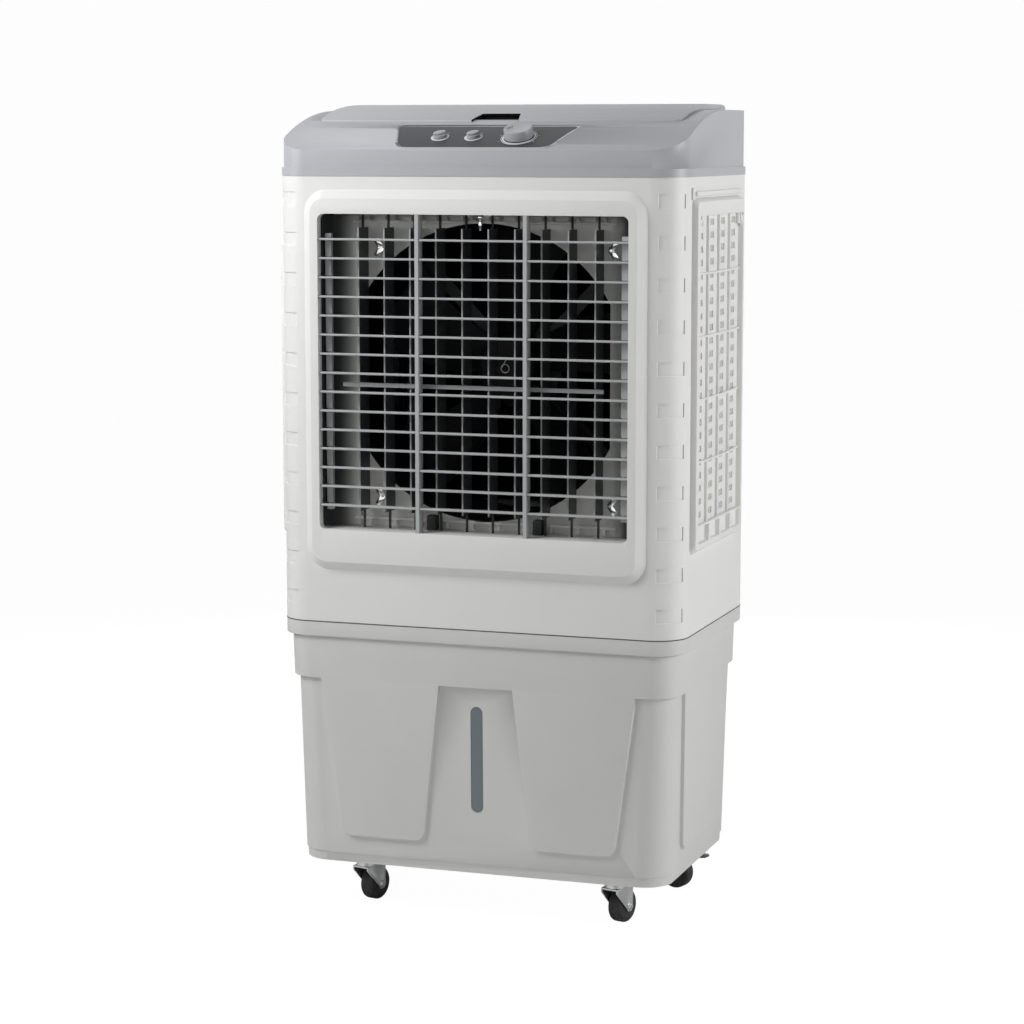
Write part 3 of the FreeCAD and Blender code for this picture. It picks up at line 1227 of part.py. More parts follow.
def caster_places():
    """Each caster's name, swivel axis and the turn of its trail from straight forward."""
    fx, fy = FRONT_CASTER
    rx, ry = REAR_CASTER
    return {
        "front_left": (-fx, fy, FRONT_CASTER_TURN),
        "front_right": (fx, fy, FRONT_CASTER_TURN),
        "rear_left": (-rx, ry, -REAR_CASTER_TURN),
        "rear_right": (rx, ry, REAR_CASTER_TURN),
    }


def at_caster(shape, name):
    """Moves a shape made about the origin, with its trail along -Y, to its caster."""
    x, y, turn = caster_places()[name]
    placed = shape.copy()
    placed.rotate(V(0, 0, 0), V(0, 0, 1), turn)
    placed.translate(V(x, y, 0))
    return placed


def caster_plate():
    """The fixed top plate with its race and the riveted kingpin."""
    low = TANK_BOTTOM_Z - PLATE_T
    body = clipped(PLATE_SIZE, PLATE_SIZE, PLATE_CORNER, low, TANK_BOTTOM_Z)
    race = faceted(RACE_R, V(0, 0, low - PLATE_RACE_H), V(0, 0, low), HIDDEN_SIDES)
    pin = landed(KINGPIN_R, V(0, 0, FORK_CROWN_Z - KINGPIN_TAIL), V(0, 0, low - PLATE_RACE_H))
    return join(body, race, pin)


def caster_fork(braked):
    """The swivelling fork: crown, upper race, two legs and the bolted axle."""
    crown_top = FORK_CROWN_Z + FORK_CROWN_T
    inner = WHEEL_W / 2 + FORK_GAP
    outer = inner + FORK_T
    race_top = TANK_BOTTOM_Z - PLATE_T - PLATE_RACE_H - RACE_GAP
    race = faceted(RACE_R, V(0, 0, crown_top - 1), V(0, 0, race_top), HIDDEN_SIDES)
    rear_v = PEDAL_PIVOT_U + PEDAL_HUB_R if braked else CASTER_TRAIL + FORK_FOOT_R
    side = [
        (FORK_CROWN_R, crown_top, 0), (FORK_CROWN_R, FORK_CROWN_Z - 4, 0),
        (-CASTER_TRAIL + FORK_FOOT_R, WHEEL_R - 3, 0), (-CASTER_TRAIL + 4, WHEEL_R - FORK_FOOT_R, 0),
        (-CASTER_TRAIL - 4, WHEEL_R - FORK_FOOT_R, 0), (-CASTER_TRAIL - FORK_FOOT_R, WHEEL_R - 3, 0),
        (-rear_v, PEDAL_PIVOT_Z - PEDAL_HUB_R, 0), (-rear_v, crown_top, 0),
    ]
    body = extrude(outline(side, on_yz(-outer)), V(2 * outer, 0, 0))
    body = body.cut(block(-inner, inner, -CASE_D, CASE_D, 0, FORK_CROWN_Z))
    behind = -FORK_CROWN_R
    body = body.cut(block(-inner, inner, -CASE_D, behind, FORK_CROWN_Z - 1, crown_top + 1))
    axle = faceted(AXLE_R, V(-outer, -CASTER_TRAIL, WHEEL_R), V(outer, -CASTER_TRAIL, WHEEL_R), HIDDEN_SIDES)
    pieces = [body, race, axle]
    for sign in (-1, 1):
        foot = V(sign * outer, -CASTER_TRAIL, WHEEL_R)
        pieces.append(faceted(NUT_R, foot, foot + V(sign * NUT_T, 0, 0), NUT_SIDES))
    if braked:
        pieces.append(landed(PEDAL_PIN_R, V(-inner - 1, -PEDAL_PIVOT_U, PEDAL_PIVOT_Z),
                             V(inner + 1, -PEDAL_PIVOT_U, PEDAL_PIVOT_Z)))
    fork = join(*pieces)
    low = V(0, 0, FORK_CROWN_Z - 1)
    return fork.cut(faceted(KINGPIN_R + PIN_CLEARANCE, low, V(0, 0, race_top + 1), HIDDEN_SIDES, True))


def caster_wheel():
    """The wheel: a round tread with a bore for the axle."""
    centre = V(0, -CASTER_TRAIL, WHEEL_R)
    half = V(WHEEL_W / 2, 0, 0)
    disc = rod(WHEEL_R, centre - half, centre + half)
    return disc.cut(faceted(AXLE_R + PIN_CLEARANCE, centre - half * 2, centre + half * 2, HIDDEN_SIDES, True))


def shoe_corners():
    """The brake shoe's side view, with its face square to the tread's radius."""
    lean = math.radians(PEDAL_SHOE_ANGLE)
    reach = WHEEL_R + PEDAL_SHOE_GAP
    touch_y = -CASTER_TRAIL - reach * math.cos(lean)
    touch_z = WHEEL_R + reach * math.sin(lean)
    half_y = PEDAL_SHOE_L / 2 * math.sin(lean)
    half_z = PEDAL_SHOE_L / 2 * math.cos(lean)
    back_y = touch_y - half_y - PEDAL_SHOE_T
    return [
        (touch_y + half_y, touch_z + half_z, 0), (touch_y - half_y, touch_z - half_z, 0),
        (back_y, touch_z - half_z + PEDAL_SHOE_T, 0), (back_y, PEDAL_PIVOT_Z, 0), (-PEDAL_PIVOT_U, PEDAL_PIVOT_Z, 0),
    ]


def brake_pedal():
    """The brake pedal: a hub on the fork's pin, a shoe over the tread and a long tongue."""
    half = WHEEL_W / 2 + FORK_GAP - PEDAL_SIDE_GAP
    pivot_y, pivot_z = -PEDAL_PIVOT_U, PEDAL_PIVOT_Z
    hub = block(-half, half, pivot_y - PEDAL_HUB_R, pivot_y + PEDAL_HUB_R, pivot_z - PEDAL_HUB_R, pivot_z + PEDAL_HUB_R)
    tip_y = -PEDAL_REACH
    wide = PEDAL_TIP_W / 2
    plan = [
        (-half, pivot_y, 0), (-wide, tip_y + PEDAL_TIP_CUT, 0), (-wide + PEDAL_TIP_CUT, tip_y, 0),
        (wide - PEDAL_TIP_CUT, tip_y, 0), (wide, tip_y + PEDAL_TIP_CUT, 0), (half, pivot_y, 0),
    ]
    low = pivot_z + PEDAL_HUB_R - PEDAL_T
    tongue = extrude(outline(plan, on_xy(low)), V(0, 0, PEDAL_T))
    shoe = extrude(outline(shoe_corners(), on_yz(2 - half)), V(2 * half - 4, 0, 0))
    bore = faceted(PEDAL_PIN_R + PIN_CLEARANCE, V(-WHEEL_W, pivot_y, pivot_z), V(WHEEL_W, pivot_y, pivot_z),
                   HIDDEN_SIDES, True)
    return join(hub, tongue, shoe).cut(bore)


def all_nodes():
    """Every node of the cooler, by name."""
    right = side_grille_right()
    plates = []
    for x, y, _ in caster_places().values():
        plate_here = caster_plate()
        plate_here.translate(V(x, y, 0))
        plates.append(plate_here)
    nodes = {
        "water_tank": water_tank(),
        "level_window": level_window(),
        "drain_plug": drain_plug(),
        "housing_shell": housing_shell(),
        "outlet_bezel": outlet_bezel(),
        "fan_shroud": fan_shroud(),
        "fan_motor": fan_motor(),
        "fan": fan(),
        "cooling_pads": cooling_pads(),
        "side_grille_right": right,
        "side_grille_left": mirrored(right),
        "rear_grille": rear_grille(),
        "water_distributor": water_distributor(),
        "water_pump": water_pump(),
        "riser_hose": riser_hose(),
        "top_cover": top_cover(),
        "top_lid": top_lid(),
        "control_panel": control_panel(),
        "speed_knob": knob(SPEED_KNOB_X, SPEED_KNOB_R, SPEED_KNOB_H),
        "cable_gland": cable_gland(),
        "louvre_tie_bars": louvre_tie_bars(),
        "vane_link_bar": vane_link_bar(),
        "caster_plates": Part.makeCompound(plates),
    }
    for name, x in zip(("swing_switch_knob", "pump_switch_knob"), SWITCH_KNOB_XS):
        nodes[name] = knob(x, SWITCH_KNOB_R, SWITCH_KNOB_H)
    for i in range(BLADES):
        nodes[f"louvre_blade_{i + 1:02d}"] = louvre_blade(i)
    for i in range(VANES):
        nodes[f"swing_vane_{i + 1:02d}"] = swing_vane(i)
    wheel = caster_wheel()
    for name in caster_places():
        braked = name.startswith("rear")
        nodes[f"caster_fork_{name}"] = at_caster(caster_fork(braked), name)
        nodes[f"caster_wheel_{name}"] = at_caster(wheel, name)
        if braked:
            nodes[f"brake_pedal_{name}"] = at_caster(brake_pedal(), name)
    return nodes


def main():
    """Builds every node and writes it to its own file."""
    os.makedirs("parts", exist_ok=True)
    for name, shape in all_nodes().items():
        shape.exportStep(f"parts/{name}.step")


main()
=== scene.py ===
import json
import math

import bmesh
import bpy
from bpy.props import FloatProperty, PointerProperty, StringProperty
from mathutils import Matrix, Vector


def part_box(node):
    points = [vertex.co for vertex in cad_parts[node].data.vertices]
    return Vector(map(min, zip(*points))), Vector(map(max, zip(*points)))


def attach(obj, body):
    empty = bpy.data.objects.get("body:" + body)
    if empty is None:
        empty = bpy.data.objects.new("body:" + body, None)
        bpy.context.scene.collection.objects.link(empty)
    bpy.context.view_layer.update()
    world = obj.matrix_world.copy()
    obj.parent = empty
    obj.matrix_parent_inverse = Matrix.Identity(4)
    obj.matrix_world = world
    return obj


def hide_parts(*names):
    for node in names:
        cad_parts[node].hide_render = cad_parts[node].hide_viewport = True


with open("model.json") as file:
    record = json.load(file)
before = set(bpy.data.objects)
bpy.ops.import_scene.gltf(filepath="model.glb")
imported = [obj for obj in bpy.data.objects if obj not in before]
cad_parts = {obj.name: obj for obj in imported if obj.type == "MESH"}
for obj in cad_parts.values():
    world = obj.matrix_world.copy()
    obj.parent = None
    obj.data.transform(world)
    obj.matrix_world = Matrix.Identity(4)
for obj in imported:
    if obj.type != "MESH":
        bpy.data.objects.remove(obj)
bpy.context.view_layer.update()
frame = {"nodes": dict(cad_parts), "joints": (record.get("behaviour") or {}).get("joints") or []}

bl_info = {
    "name": "Air Cooler Dressing",
    "version": (1, 0, 0),
    "blender": (4, 5, 0),
    "location": "View3D > Sidebar > Cooler",
    "description": "Gives an evaporative air cooler its visible pieces, finishes and studio",
    "category": "Object",
}

MM = 0.001
JOINTS = {joint["name"]: joint for joint in frame["joints"]}
FAN_Z = JOINTS["fan_spin"]["pos_m"][2] / MM


# Shared steps, which take places and lengths in millimetres and angles in degrees


def at(x, y, z):
    """A place in metres, as Blender takes it."""
    return x * MM, y * MM, z * MM


def in_mm(corners):
    """The two corners of a box in millimetres."""
    return [Vector(corner) / MM for corner in corners]


def close():
    """Leaves edit mode."""
    bpy.ops.object.mode_set(mode="OBJECT")


def start():
    """Goes back to object mode with nothing selected."""
    if bpy.context.object and bpy.context.object.mode != "OBJECT":
        close()
    bpy.ops.object.select_all(action="DESELECT")


def pick(obj):
    """Makes one object the only selected and active one."""
    start()
    obj.select_set(True)
    bpy.context.view_layer.objects.active = obj
    return obj


def modifier(obj, kind, **settings):
    """Adds a modifier and applies it at once; its own lengths are in metres."""
    pick(obj)
    made = obj.modifiers.new(kind.title(), kind)
    for key, value in settings.items():
        setattr(made, key, value)
    bpy.ops.object.modifier_apply(modifier=made.name)
    return obj


def soften(obj, width, segments, angle):
    """Rounds over every edge that is sharper than an angle."""
    return modifier(obj, "BEVEL", width=width * MM, segments=segments, limit_method="ANGLE",
                    angle_limit=math.radians(angle))


def block(name, low, high, soft=0.0, segments=2):
    """A block between two corners, with its edges rounded over."""
    start()
    low, high = Vector(at(*low)), Vector(at(*high))
    bpy.ops.mesh.primitive_cube_add(size=1, location=(low + high) / 2)
    obj = bpy.context.object
    obj.name = name
    obj.scale = high - low
    bpy.ops.object.transform_apply()
    if soft:
        modifier(obj, "BEVEL", width=soft * MM, segments=segments, limit_method="NONE")
    return obj


def disc(name, radius, length, centre, axis, sides=48, soft=0.0):
    """A round bar about a centre, with its rims rounded over."""
    start()
    turn = Vector((0, 0, 1)).rotation_difference(Vector(axis)).to_euler()
    bpy.ops.mesh.primitive_cylinder_add(vertices=sides, radius=radius * MM, depth=length * MM,
                                        location=at(*centre), rotation=turn)
    obj = bpy.context.object
    obj.name = name
    bpy.ops.object.transform_apply()
    return soften(obj, soft, 2, 40) if soft else obj


def joined(name, pieces):
    """Several pieces made one object."""
    pick(pieces[0])
    for piece in pieces[1:]:
        piece.select_set(True)
    if len(pieces) > 1:
        bpy.ops.object.join()
    obj = bpy.context.object
    obj.name = name
    return obj


def edit(obj):
    """Opens an object for editing with nothing in its mesh selected."""
    pick(obj)
    bpy.ops.object.mode_set(mode="EDIT")
    bpy.ops.mesh.select_mode(type="EDGE")
    bpy.ops.mesh.select_all(action="DESELECT")
    return bmesh.from_edit_mesh(obj.data)


def select_faces(obj, chosen):
    """Opens a piece for editing with the faces selected that a test of their middle and direction chooses."""
    mesh = edit(obj)
    bpy.ops.mesh.select_mode(type="FACE")
    for face in mesh.faces:
        face.select_set(chosen(face.calc_center_median() / MM, face.normal))
    bmesh.update_edit_mesh(obj.data)


def face_outwards(obj):
    """Turns all faces of a piece outwards."""
    edit(obj)
    bpy.ops.mesh.select_all(action="SELECT")
    bpy.ops.mesh.normals_make_consistent(inside=False)
    close()
    return obj


def sliced(obj, *planes):
    """Draws lines across a whole piece where it meets planes, each given as a place and a direction."""
    edit(obj)
    for place, direction in planes:
        bpy.ops.mesh.select_all(action="SELECT")
        bpy.ops.mesh.bisect(plane_co=at(*place), plane_no=direction)
    close()
    return obj


def reshape(obj, move):
    """Gives every corner of a piece the place that a function makes of its old one, both in metres."""
    mesh = edit(obj)
    for vertex in mesh.verts:
        vertex.co = move(vertex.co)
    bmesh.update_edit_mesh(obj.data)
    close()
    return obj


def round_edges(obj, chosen, width, segments=3, angle=24):
    """Rounds over the sharp edges, or those whose middle is chosen by a test."""
    mesh = edit(obj)
    count = 0
    for edge in mesh.edges:
        if len(edge.link_faces) == 2 and edge.calc_face_angle(0) > math.radians(angle):
            if not chosen or chosen((edge.verts[0].co + edge.verts[1].co) / 2 / MM):
                edge.select_set(True)
                count += 1
    bmesh.update_edit_mesh(obj.data)
    if count:
        bpy.ops.mesh.bevel(offset=width * MM, segments=segments, profile=0.5, clamp_overlap=True)
    close()
    return obj


def cut(obj, *cutters):
    """Cuts other pieces out of a piece."""
    tool = joined("cutter", list(cutters))
    modifier(obj, "BOOLEAN", operation="DIFFERENCE", solver="EXACT", object=tool)
    bpy.data.objects.remove(tool, do_unlink=True)
    return obj


def split_off(obj, name, chosen):
    """Takes the faces whose middle and direction are chosen by a test off a piece, as a new piece."""
    select_faces(obj, chosen)
    bpy.ops.mesh.separate(type="SELECTED")
    close()
    made = next(o for o in bpy.context.selected_objects if o is not obj)
    made.name = name
    return made


def placed(obj, place, turn=(0, 0, 0)):
    """Turns a piece that was made about the origin, and moves it to its place."""
    pick(obj)
    obj.rotation_euler = [math.radians(part) for part in turn]
    obj.location = at(*place)
    bpy.ops.object.transform_apply()
    return obj


def mirror_of(obj, name):
    """The same piece for the other side."""
    pick(obj)
    bpy.ops.object.duplicate()
    made = bpy.context.object
    made.name = name
    made.scale = (-1, 1, 1)
    bpy.ops.object.transform_apply()
    return face_outwards(made)


def copy_of(node, name):
    """A copy of a solid's mesh, merged and cleared of the lines across its flat faces."""
    start()
    obj = bpy.data.objects.new(name, frame["nodes"][node].data.copy())
    bpy.context.scene.collection.objects.link(obj)
    edit(obj)
    bpy.ops.mesh.select_all(action="SELECT")
    bpy.ops.mesh.remove_doubles(threshold=0.01 * MM)
    bpy.ops.mesh.dissolve_limited(angle_limit=math.radians(0.4))
    close()
    return obj


def settle(obj, body, finish, slot, *nodes, smooth=30):
    """Finishes a piece: its finish by name, its body and the solids it stands for. The slot is not used."""
    pick(obj)
    bpy.ops.object.transform_apply()
    obj.data.materials.clear()
    obj.data.materials.append(Finishes.made[finish])
    bpy.ops.object.shade_smooth_by_angle(angle=math.radians(smooth))
    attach(obj, body)
    if nodes:
        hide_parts(*nodes)
    return obj


def dress(node, finish):
    """Gives a solid that shows its finish."""
    obj = frame["nodes"][node]
    obj.data.materials.clear()
    obj.data.materials.append(Finishes.made[finish])
    return obj


def shell_distance(point, half_w, half_d, radius):
    """How far a place is outside a rounded rectangle seen from above."""
    dx = abs(point.x) - (half_w - radius)
    dy = abs(point.y) - (half_d - radius)
    return math.hypot(max(dx, 0), max(dy, 0)) + min(max(dx, dy), 0) - radius


# Finishes


# Sockets of the colour mix node, whose names repeat for its other data types.
MIX_SHARE, MIX_A, MIX_B, MIX_RESULT = 0, 6, 7, 2


def linear(code):
    """A hex colour turned from sRGB to linear, with full alpha."""
    parts = [int(code[i:i + 2], 16) / 255 for i in (1, 3, 5)]
    return tuple(p / 12.92 if p <= 0.04045 else ((p + 0.055) / 1.055) ** 2.4 for p in parts) + (1.0,)


def add(tree, kind, values=None, links=None, **settings):
    """Adds a node with its settings, its socket values and its incoming links."""
    made = tree.nodes.new(kind)
    for key, value in settings.items():
        setattr(made, key, value)
    for key, value in (values or {}).items():
        made.inputs[key].default_value = value
    for key, source in (links or {}).items():
        tree.links.new(source, made.inputs[key])
    return made


def blank(name):
    """A new material and its empty node tree."""
    made = bpy.data.materials.new(name)
    made.use_nodes = True
    made.node_tree.nodes.clear()
    return made, made.node_tree


def own_place(tree):
    """The place on the piece, in its own coordinates."""
    return add(tree, "ShaderNodeTexCoord").outputs["Object"]


def own_part(tree, axis):
    """The piece's own X, Y or Z."""
    return add(tree, "ShaderNodeSeparateXYZ", links={"Vector": own_place(tree)}).outputs[axis]


def spots(tree, size_mm, detail=2.0):
    """Noise whose patches are about a size in millimetres."""
    values = {"Scale": 1 / (size_mm * MM), "Detail": detail, "Roughness": 0.5}
    return add(tree, "ShaderNodeTexNoise", values, {"Vector": own_place(tree)}).outputs["Fac"]


def between(tree, low, high, source):
    """A value that a pattern moves between two limits."""
    made = add(tree, "ShaderNodeMapRange", {"To Min": low, "To Max": high}, {"Value": source})
    return made.outputs["Result"]


def tint(tree, code, amount, source):
    """A colour that varies a little either way with a pattern."""
    base = linear(code)
    dark = tuple(c * (1 - amount) for c in base[:3]) + (1.0,)
    pale = tuple(min(1.0, c * (1 + amount)) for c in base[:3]) + (1.0,)
    return add(tree, "ShaderNodeMix", {MIX_A: dark, MIX_B: pale}, {MIX_SHARE: source},
               data_type="RGBA").outputs[MIX_RESULT]


def finished(tree, shader):
    """Sends a shader's output to the surface."""
    add(tree, "ShaderNodeOutputMaterial", links={"Surface": shader.outputs[0]})


def beyond(axis, limit_mm):
    """A mask that is 1 where the piece's own X, Y or Z is past a limit."""
    def mask(tree):
        return add(tree, "ShaderNodeMath", {1: limit_mm * MM}, {0: own_part(tree, axis)},
                   operation="GREATER_THAN").outputs[0]
    return mask


# Places the coving's painted shade.
def towards_wall(from_mm, to_mm):
    """A mask that rises from 0 to 1 as the piece's place leaves the middle for the side walls."""
    def mask(tree):
        reach = add(tree, "ShaderNodeMath", links={0: own_part(tree, 0)}, operation="ABSOLUTE")
        return add(tree, "ShaderNodeMapRange", {"From Min": from_mm * MM, "From Max": to_mm * MM},
                   {"Value": reach.outputs[0]}, interpolation_type="SMOOTHSTEP").outputs["Result"]
    return mask


# Places the shroud's painted shade.
def within_duct(radius_mm):
    """A mask that is 1 on the wall of the fan's duct and inside it."""
    def mask(tree):
        flat = add(tree, "ShaderNodeMapping", {"Location": at(0, 0, -FAN_Z), "Scale": (1, 0, 1)},
                   {"Vector": own_place(tree)})
        reach = add(tree, "ShaderNodeVectorMath", links={0: flat.outputs["Vector"]}, operation="LENGTH")
        return add(tree, "ShaderNodeMath", {1: radius_mm * MM}, {0: reach.outputs["Value"]},
                   operation="LESS_THAN").outputs[0]
    return mask


def moulded(name, code, roughness, grain_mm=2.4, depth_mm=0.02, uneven=0.02, shine=0.5, zone=None):
    """Injection-moulded plastic: an even colour, a fine spark-eroded grain and slight flow patches.

    A zone is a mask and a second colour painted on part of the piece; the script uses it for painted shade.
    """
    made, tree = blank(name)
    patches = spots(tree, 60.0)
    grain = spots(tree, grain_mm, 3.0)
    bump = add(tree, "ShaderNodeBump", {"Strength": 0.5, "Distance": depth_mm * MM}, {"Height": grain})
    colour = tint(tree, code, uneven, patches)
    if zone:
        mask, second_code = zone
        links = {MIX_SHARE: mask(tree), MIX_A: colour, MIX_B: tint(tree, second_code, uneven, patches)}
        colour = add(tree, "ShaderNodeMix", links=links, data_type="RGBA").outputs[MIX_RESULT]
    finished(tree, add(tree, "ShaderNodeBsdfPrincipled", {"IOR": 1.5, "Specular IOR Level": shine}, {
        "Base Color": colour,
        "Roughness": between(tree, roughness - 0.05, roughness + 0.06, grain),
        "Normal": bump.outputs["Normal"],
    }))
    return made


def zinc_plate(name, code, satin=0.3):
    """Plated or bare metal: a faint spangle and a satin sheen."""
    made, tree = blank(name)
    spangle = spots(tree, 3.5, 4.0)
    finished(tree, add(tree, "ShaderNodeBsdfPrincipled", {"Metallic": 1.0}, {
        "Base Color": tint(tree, code, 0.08, spangle),
        "Roughness": between(tree, satin - 0.06, satin + 0.1, spangle),
    }))
    return made


def corrugated_cellulose(name, code):
    """Cooling pad of glued wavy paper: flutes that lean across the pad, about 4.4 mm apart."""
    made, tree = blank(name)
    lean = add(tree, "ShaderNodeMapping", {"Rotation": (0.6, 0.6, 0.0)}, {"Vector": own_place(tree)})
    # The wave texture's period is a tenth of pi over its scale.
    values = {"Scale": 1 / (14 * MM), "Distortion": 1.5, "Detail": 2.0}
    flutes = add(tree, "ShaderNodeTexWave", values, {"Vector": lean.outputs["Vector"]}, bands_direction="Z")
    bump = add(tree, "ShaderNodeBump", {"Strength": 1.0, "Distance": 1.5 * MM},
               {"Height": flutes.outputs["Fac"]})
    finished(tree, add(tree, "ShaderNodeBsdfPrincipled", {"Roughness": 0.9}, {
        "Base Color": tint(tree, code, 0.2, flutes.outputs["Fac"]),
        "Normal": bump.outputs["Normal"],
    }))
    return made


class Finishes:
    """The cooler's materials, made once from the colours of the panel."""

    made = {}

    @classmethod
    def build(cls, colours):
        """Makes every material anew."""
        def code(name):
            return "#" + getattr(colours, name).strip("#")

        cls.made = {
            # Fine-grained ABS, matt enough to hide finger marks: the soft white of the casing.
            "housing": moulded("white_abs_fine_grain", code("housing"), 0.5),
            # Painted shade: a dark grey band stands for the shadow in the seam between the tank and the
            # housing.
            "seam_shade": moulded("grey_foam_gasket", "#5C5C5A", 0.8, depth_mm=0.05, uneven=0.1, shine=0.2),
            # Talc-filled polypropylene, a little waxy: the warm grey under the white.
            "tank": moulded("grey_polypropylene", code("tank"), 0.46, grain_mm=3.0, depth_mm=0.03),
            # Cool satin grey that sets the cover off from the warm white casing.
            "cover": moulded("cool_grey_abs", code("cover"), 0.42),
            # The darkest flat area, in front of which the knobs stand out.
            "panel": moulded("dark_grey_satin_abs", code("panel"), 0.5, depth_mm=0.01, shine=0.3),
            # Smooth pale rings and strokes round the knobs.
            "panel_rim": moulded("pale_grey_abs_trim", code("panel_rim"), 0.38, depth_mm=0.01),
            # The bright rows across the dark outlet.
            "louvre": moulded("louvre_grey_abs", code("louvre"), 0.4),
            # Painted shade: blade grey at the front edge and dark grey behind it, where the vanes lie in
            # shade, so they show as thin lines.
            "vane": moulded("vane_two_shot_abs", code("louvre"), 0.42, shine=0.3,
                            zone=(beyond(1, -180.3), code("vane"))),
            # Painted shade: the outlet's inner walls behind the front band are dark grey, so that its rim
            # shows.
            "throat": moulded("dark_grey_abs", "#37393B", 0.6, shine=0.2),
            # Smoother than the panel, so that each knob carries a small highlight.
            "knob": moulded("knob_grey_abs", code("knob"), 0.3, depth_mm=0.01),
            # The one glossy strip on the tank, blue-grey from the dark water space behind it.
            "window": moulded("blue_grey_clear_styrene", code("window"), 0.14, grain_mm=8.0, depth_mm=0.005),
            # Pale plastic with painted shade: near black on the duct's wall and everywhere inside its radius.
            "shroud": moulded("pale_polypropylene_with_black_duct", code("shroud"), 0.5,
                              zone=(within_duct(216.6), "#111112")),
            # The pale plate's curve, with painted shade that darkens it towards the outlet's side walls.
            "coving": moulded("pale_polypropylene_darkened_at_wall", code("shroud"), 0.5,
                              zone=(towards_wall(188, 222), "#2C2E30")),
            # Nearly black with hardly a sheen: the blades are only just seen.
            "fan": moulded("black_glass_filled_nylon", "#0C0C0D", 0.6, grain_mm=3.0, depth_mm=0.03,
                           uneven=0.2, shine=0.25),
            # Painted shade: near-black sheets where shade falls, behind the fan and in the lid's notch.
            "shade_black": moulded("black_foam_sheet", "#0B0B0B", 0.9, grain_mm=3.0, depth_mm=0.2, uneven=0.3,
                              shine=0.1),
            # Plain black mouldings: plug, gland, motor, pump and hose.
            "dark": moulded("black_polypropylene", "#161617", 0.55, grain_mm=3.0, depth_mm=0.03, uneven=0.1,
                            shine=0.3),
            # A green tinge that sets the pedals off from the black tyres.
            "pedal": moulded("dark_green_grey_nylon", "#3E4643", 0.5, depth_mm=0.03, uneven=0.06),
            # Matt black treads with a soft highlight on the shoulder.
            "tyre": moulded("black_moulded_rubber", "#161616", 0.62, grain_mm=3.0, depth_mm=0.05,
                            uneven=0.15),
            # Bright pressed steel above the black wheels.
            "zinc": zinc_plate("zinc_plated_pressed_steel", "#C9CACB"),
            # Small sparks of light in the outlet.
            "spring": zinc_plate("nickel_spring_wire", "#F2F2F2", 0.1),
            # Ribbed pale paper, seen only through the grilles.
            "pad": corrugated_cellulose("corrugated_cellulose_pad", "#C9C8C2"),
        }
        return cls.made


def colour(name, description, default):
    """A setting that holds a colour, as an sRGB hex code."""
    return StringProperty(name=name, description=description, default=default)


def length(name, description, default_mm):
    """A setting that holds a length in metres."""
    return FloatProperty(name=name, description=description, default=default_mm * MM, unit="LENGTH")


def power(name, where, default):
    """A setting that holds a lamp's power."""
    return FloatProperty(name=name + " light", description="Power of the soft lamp " + where, default=default,
                         unit="POWER")


class CoolerColours(bpy.types.PropertyGroup):
    """The colours of the cooler's mouldings, as sRGB hex codes."""

    housing: colour("Housing", "The white upper casing and grilles", "#E2E2E0")
    tank: colour("Tank", "The grey water tank", "#D0D0CE")
    cover: colour("Top cover", "The cool grey cover and lid", "#ACAEB3")
    panel: colour("Control panel", "The dark inlay under the knobs", "#3C3D41")
    panel_rim: colour("Panel trim", "The pale rings round the knobs", "#D2D4D7")
    louvre: colour("Blades", "The horizontal blades and tie bars", "#B0B2B3")
    # Painted shade: the colour of the vanes behind their front edge.
    vane: colour("Vanes", "The upright vanes", "#4E5153")
    knob: colour("Knobs", "The three rotary knobs", "#A4A6AA")
    window: colour("Level window", "The clear strip in the tank", "#6E777D")
    shroud: colour("Shroud", "The fan's surround and the trough", "#F0F0EC")


class CoolerSizes(bpy.types.PropertyGroup):
    """The sizes of the details that are modelled here, and the lights' powers."""

    case_edge: length("Case edge", "Radius on the moulded outer edges of the casing", 1.4)
    cover_edge: length("Cover edge", "Radius where the cover's top meets its walls", 3.5)
    bezel_edge: length("Bezel edge", "Radius round the outlet frame's face", 3.5)
    net_pitch: length("Net pitch", "Spacing of the dust net's holes", 19)
    key_light: power("Key", "high at the front left", 19.5)
    left_light: power("Left", "at the left", 10.0)
    side_light: power("Side", "at the right", 31.0)
    fill_light: power("Fill", "in front", 3.5)
    top_light: power("Top", "overhead", 5.0)
    back_light: power("Back", "behind", 24.0)
    sky_light: FloatProperty(name="Surround light", description="Strength of the even light all round",
                             default=0.05)


def sizes():
    """The scene's own copy of the sizes and powers."""
    return bpy.context.scene.cooler_sizes


def setting_mm(name):
    """One of the scene's lengths, in millimetres."""
    return getattr(sizes(), name) / MM


# Casing and lid


TANK_FOOT_HALF, TANK_DRAFT = (287, 175), (8.5, 6)
TANK_FOOT_R, TANK_RIM_R, TANK_RIM_Z = 45, 48, 416
WINDOW_HALF = 12
# The cover's walls seen from above: half width, half depth and corner radius.
COVER_WALLS = (308, 190, 46)
# Corners of the band that paints the seam's shade, a little proud of the shell.
SEAM_LOW, SEAM_HIGH = (-310.3, -192.3, 437.4), (310.3, 192.3, 438.9)
LID_HINGE_Y = 170
NOTCH_X, NOTCH_Y = (-38.3, 34.3), (-92, -56)


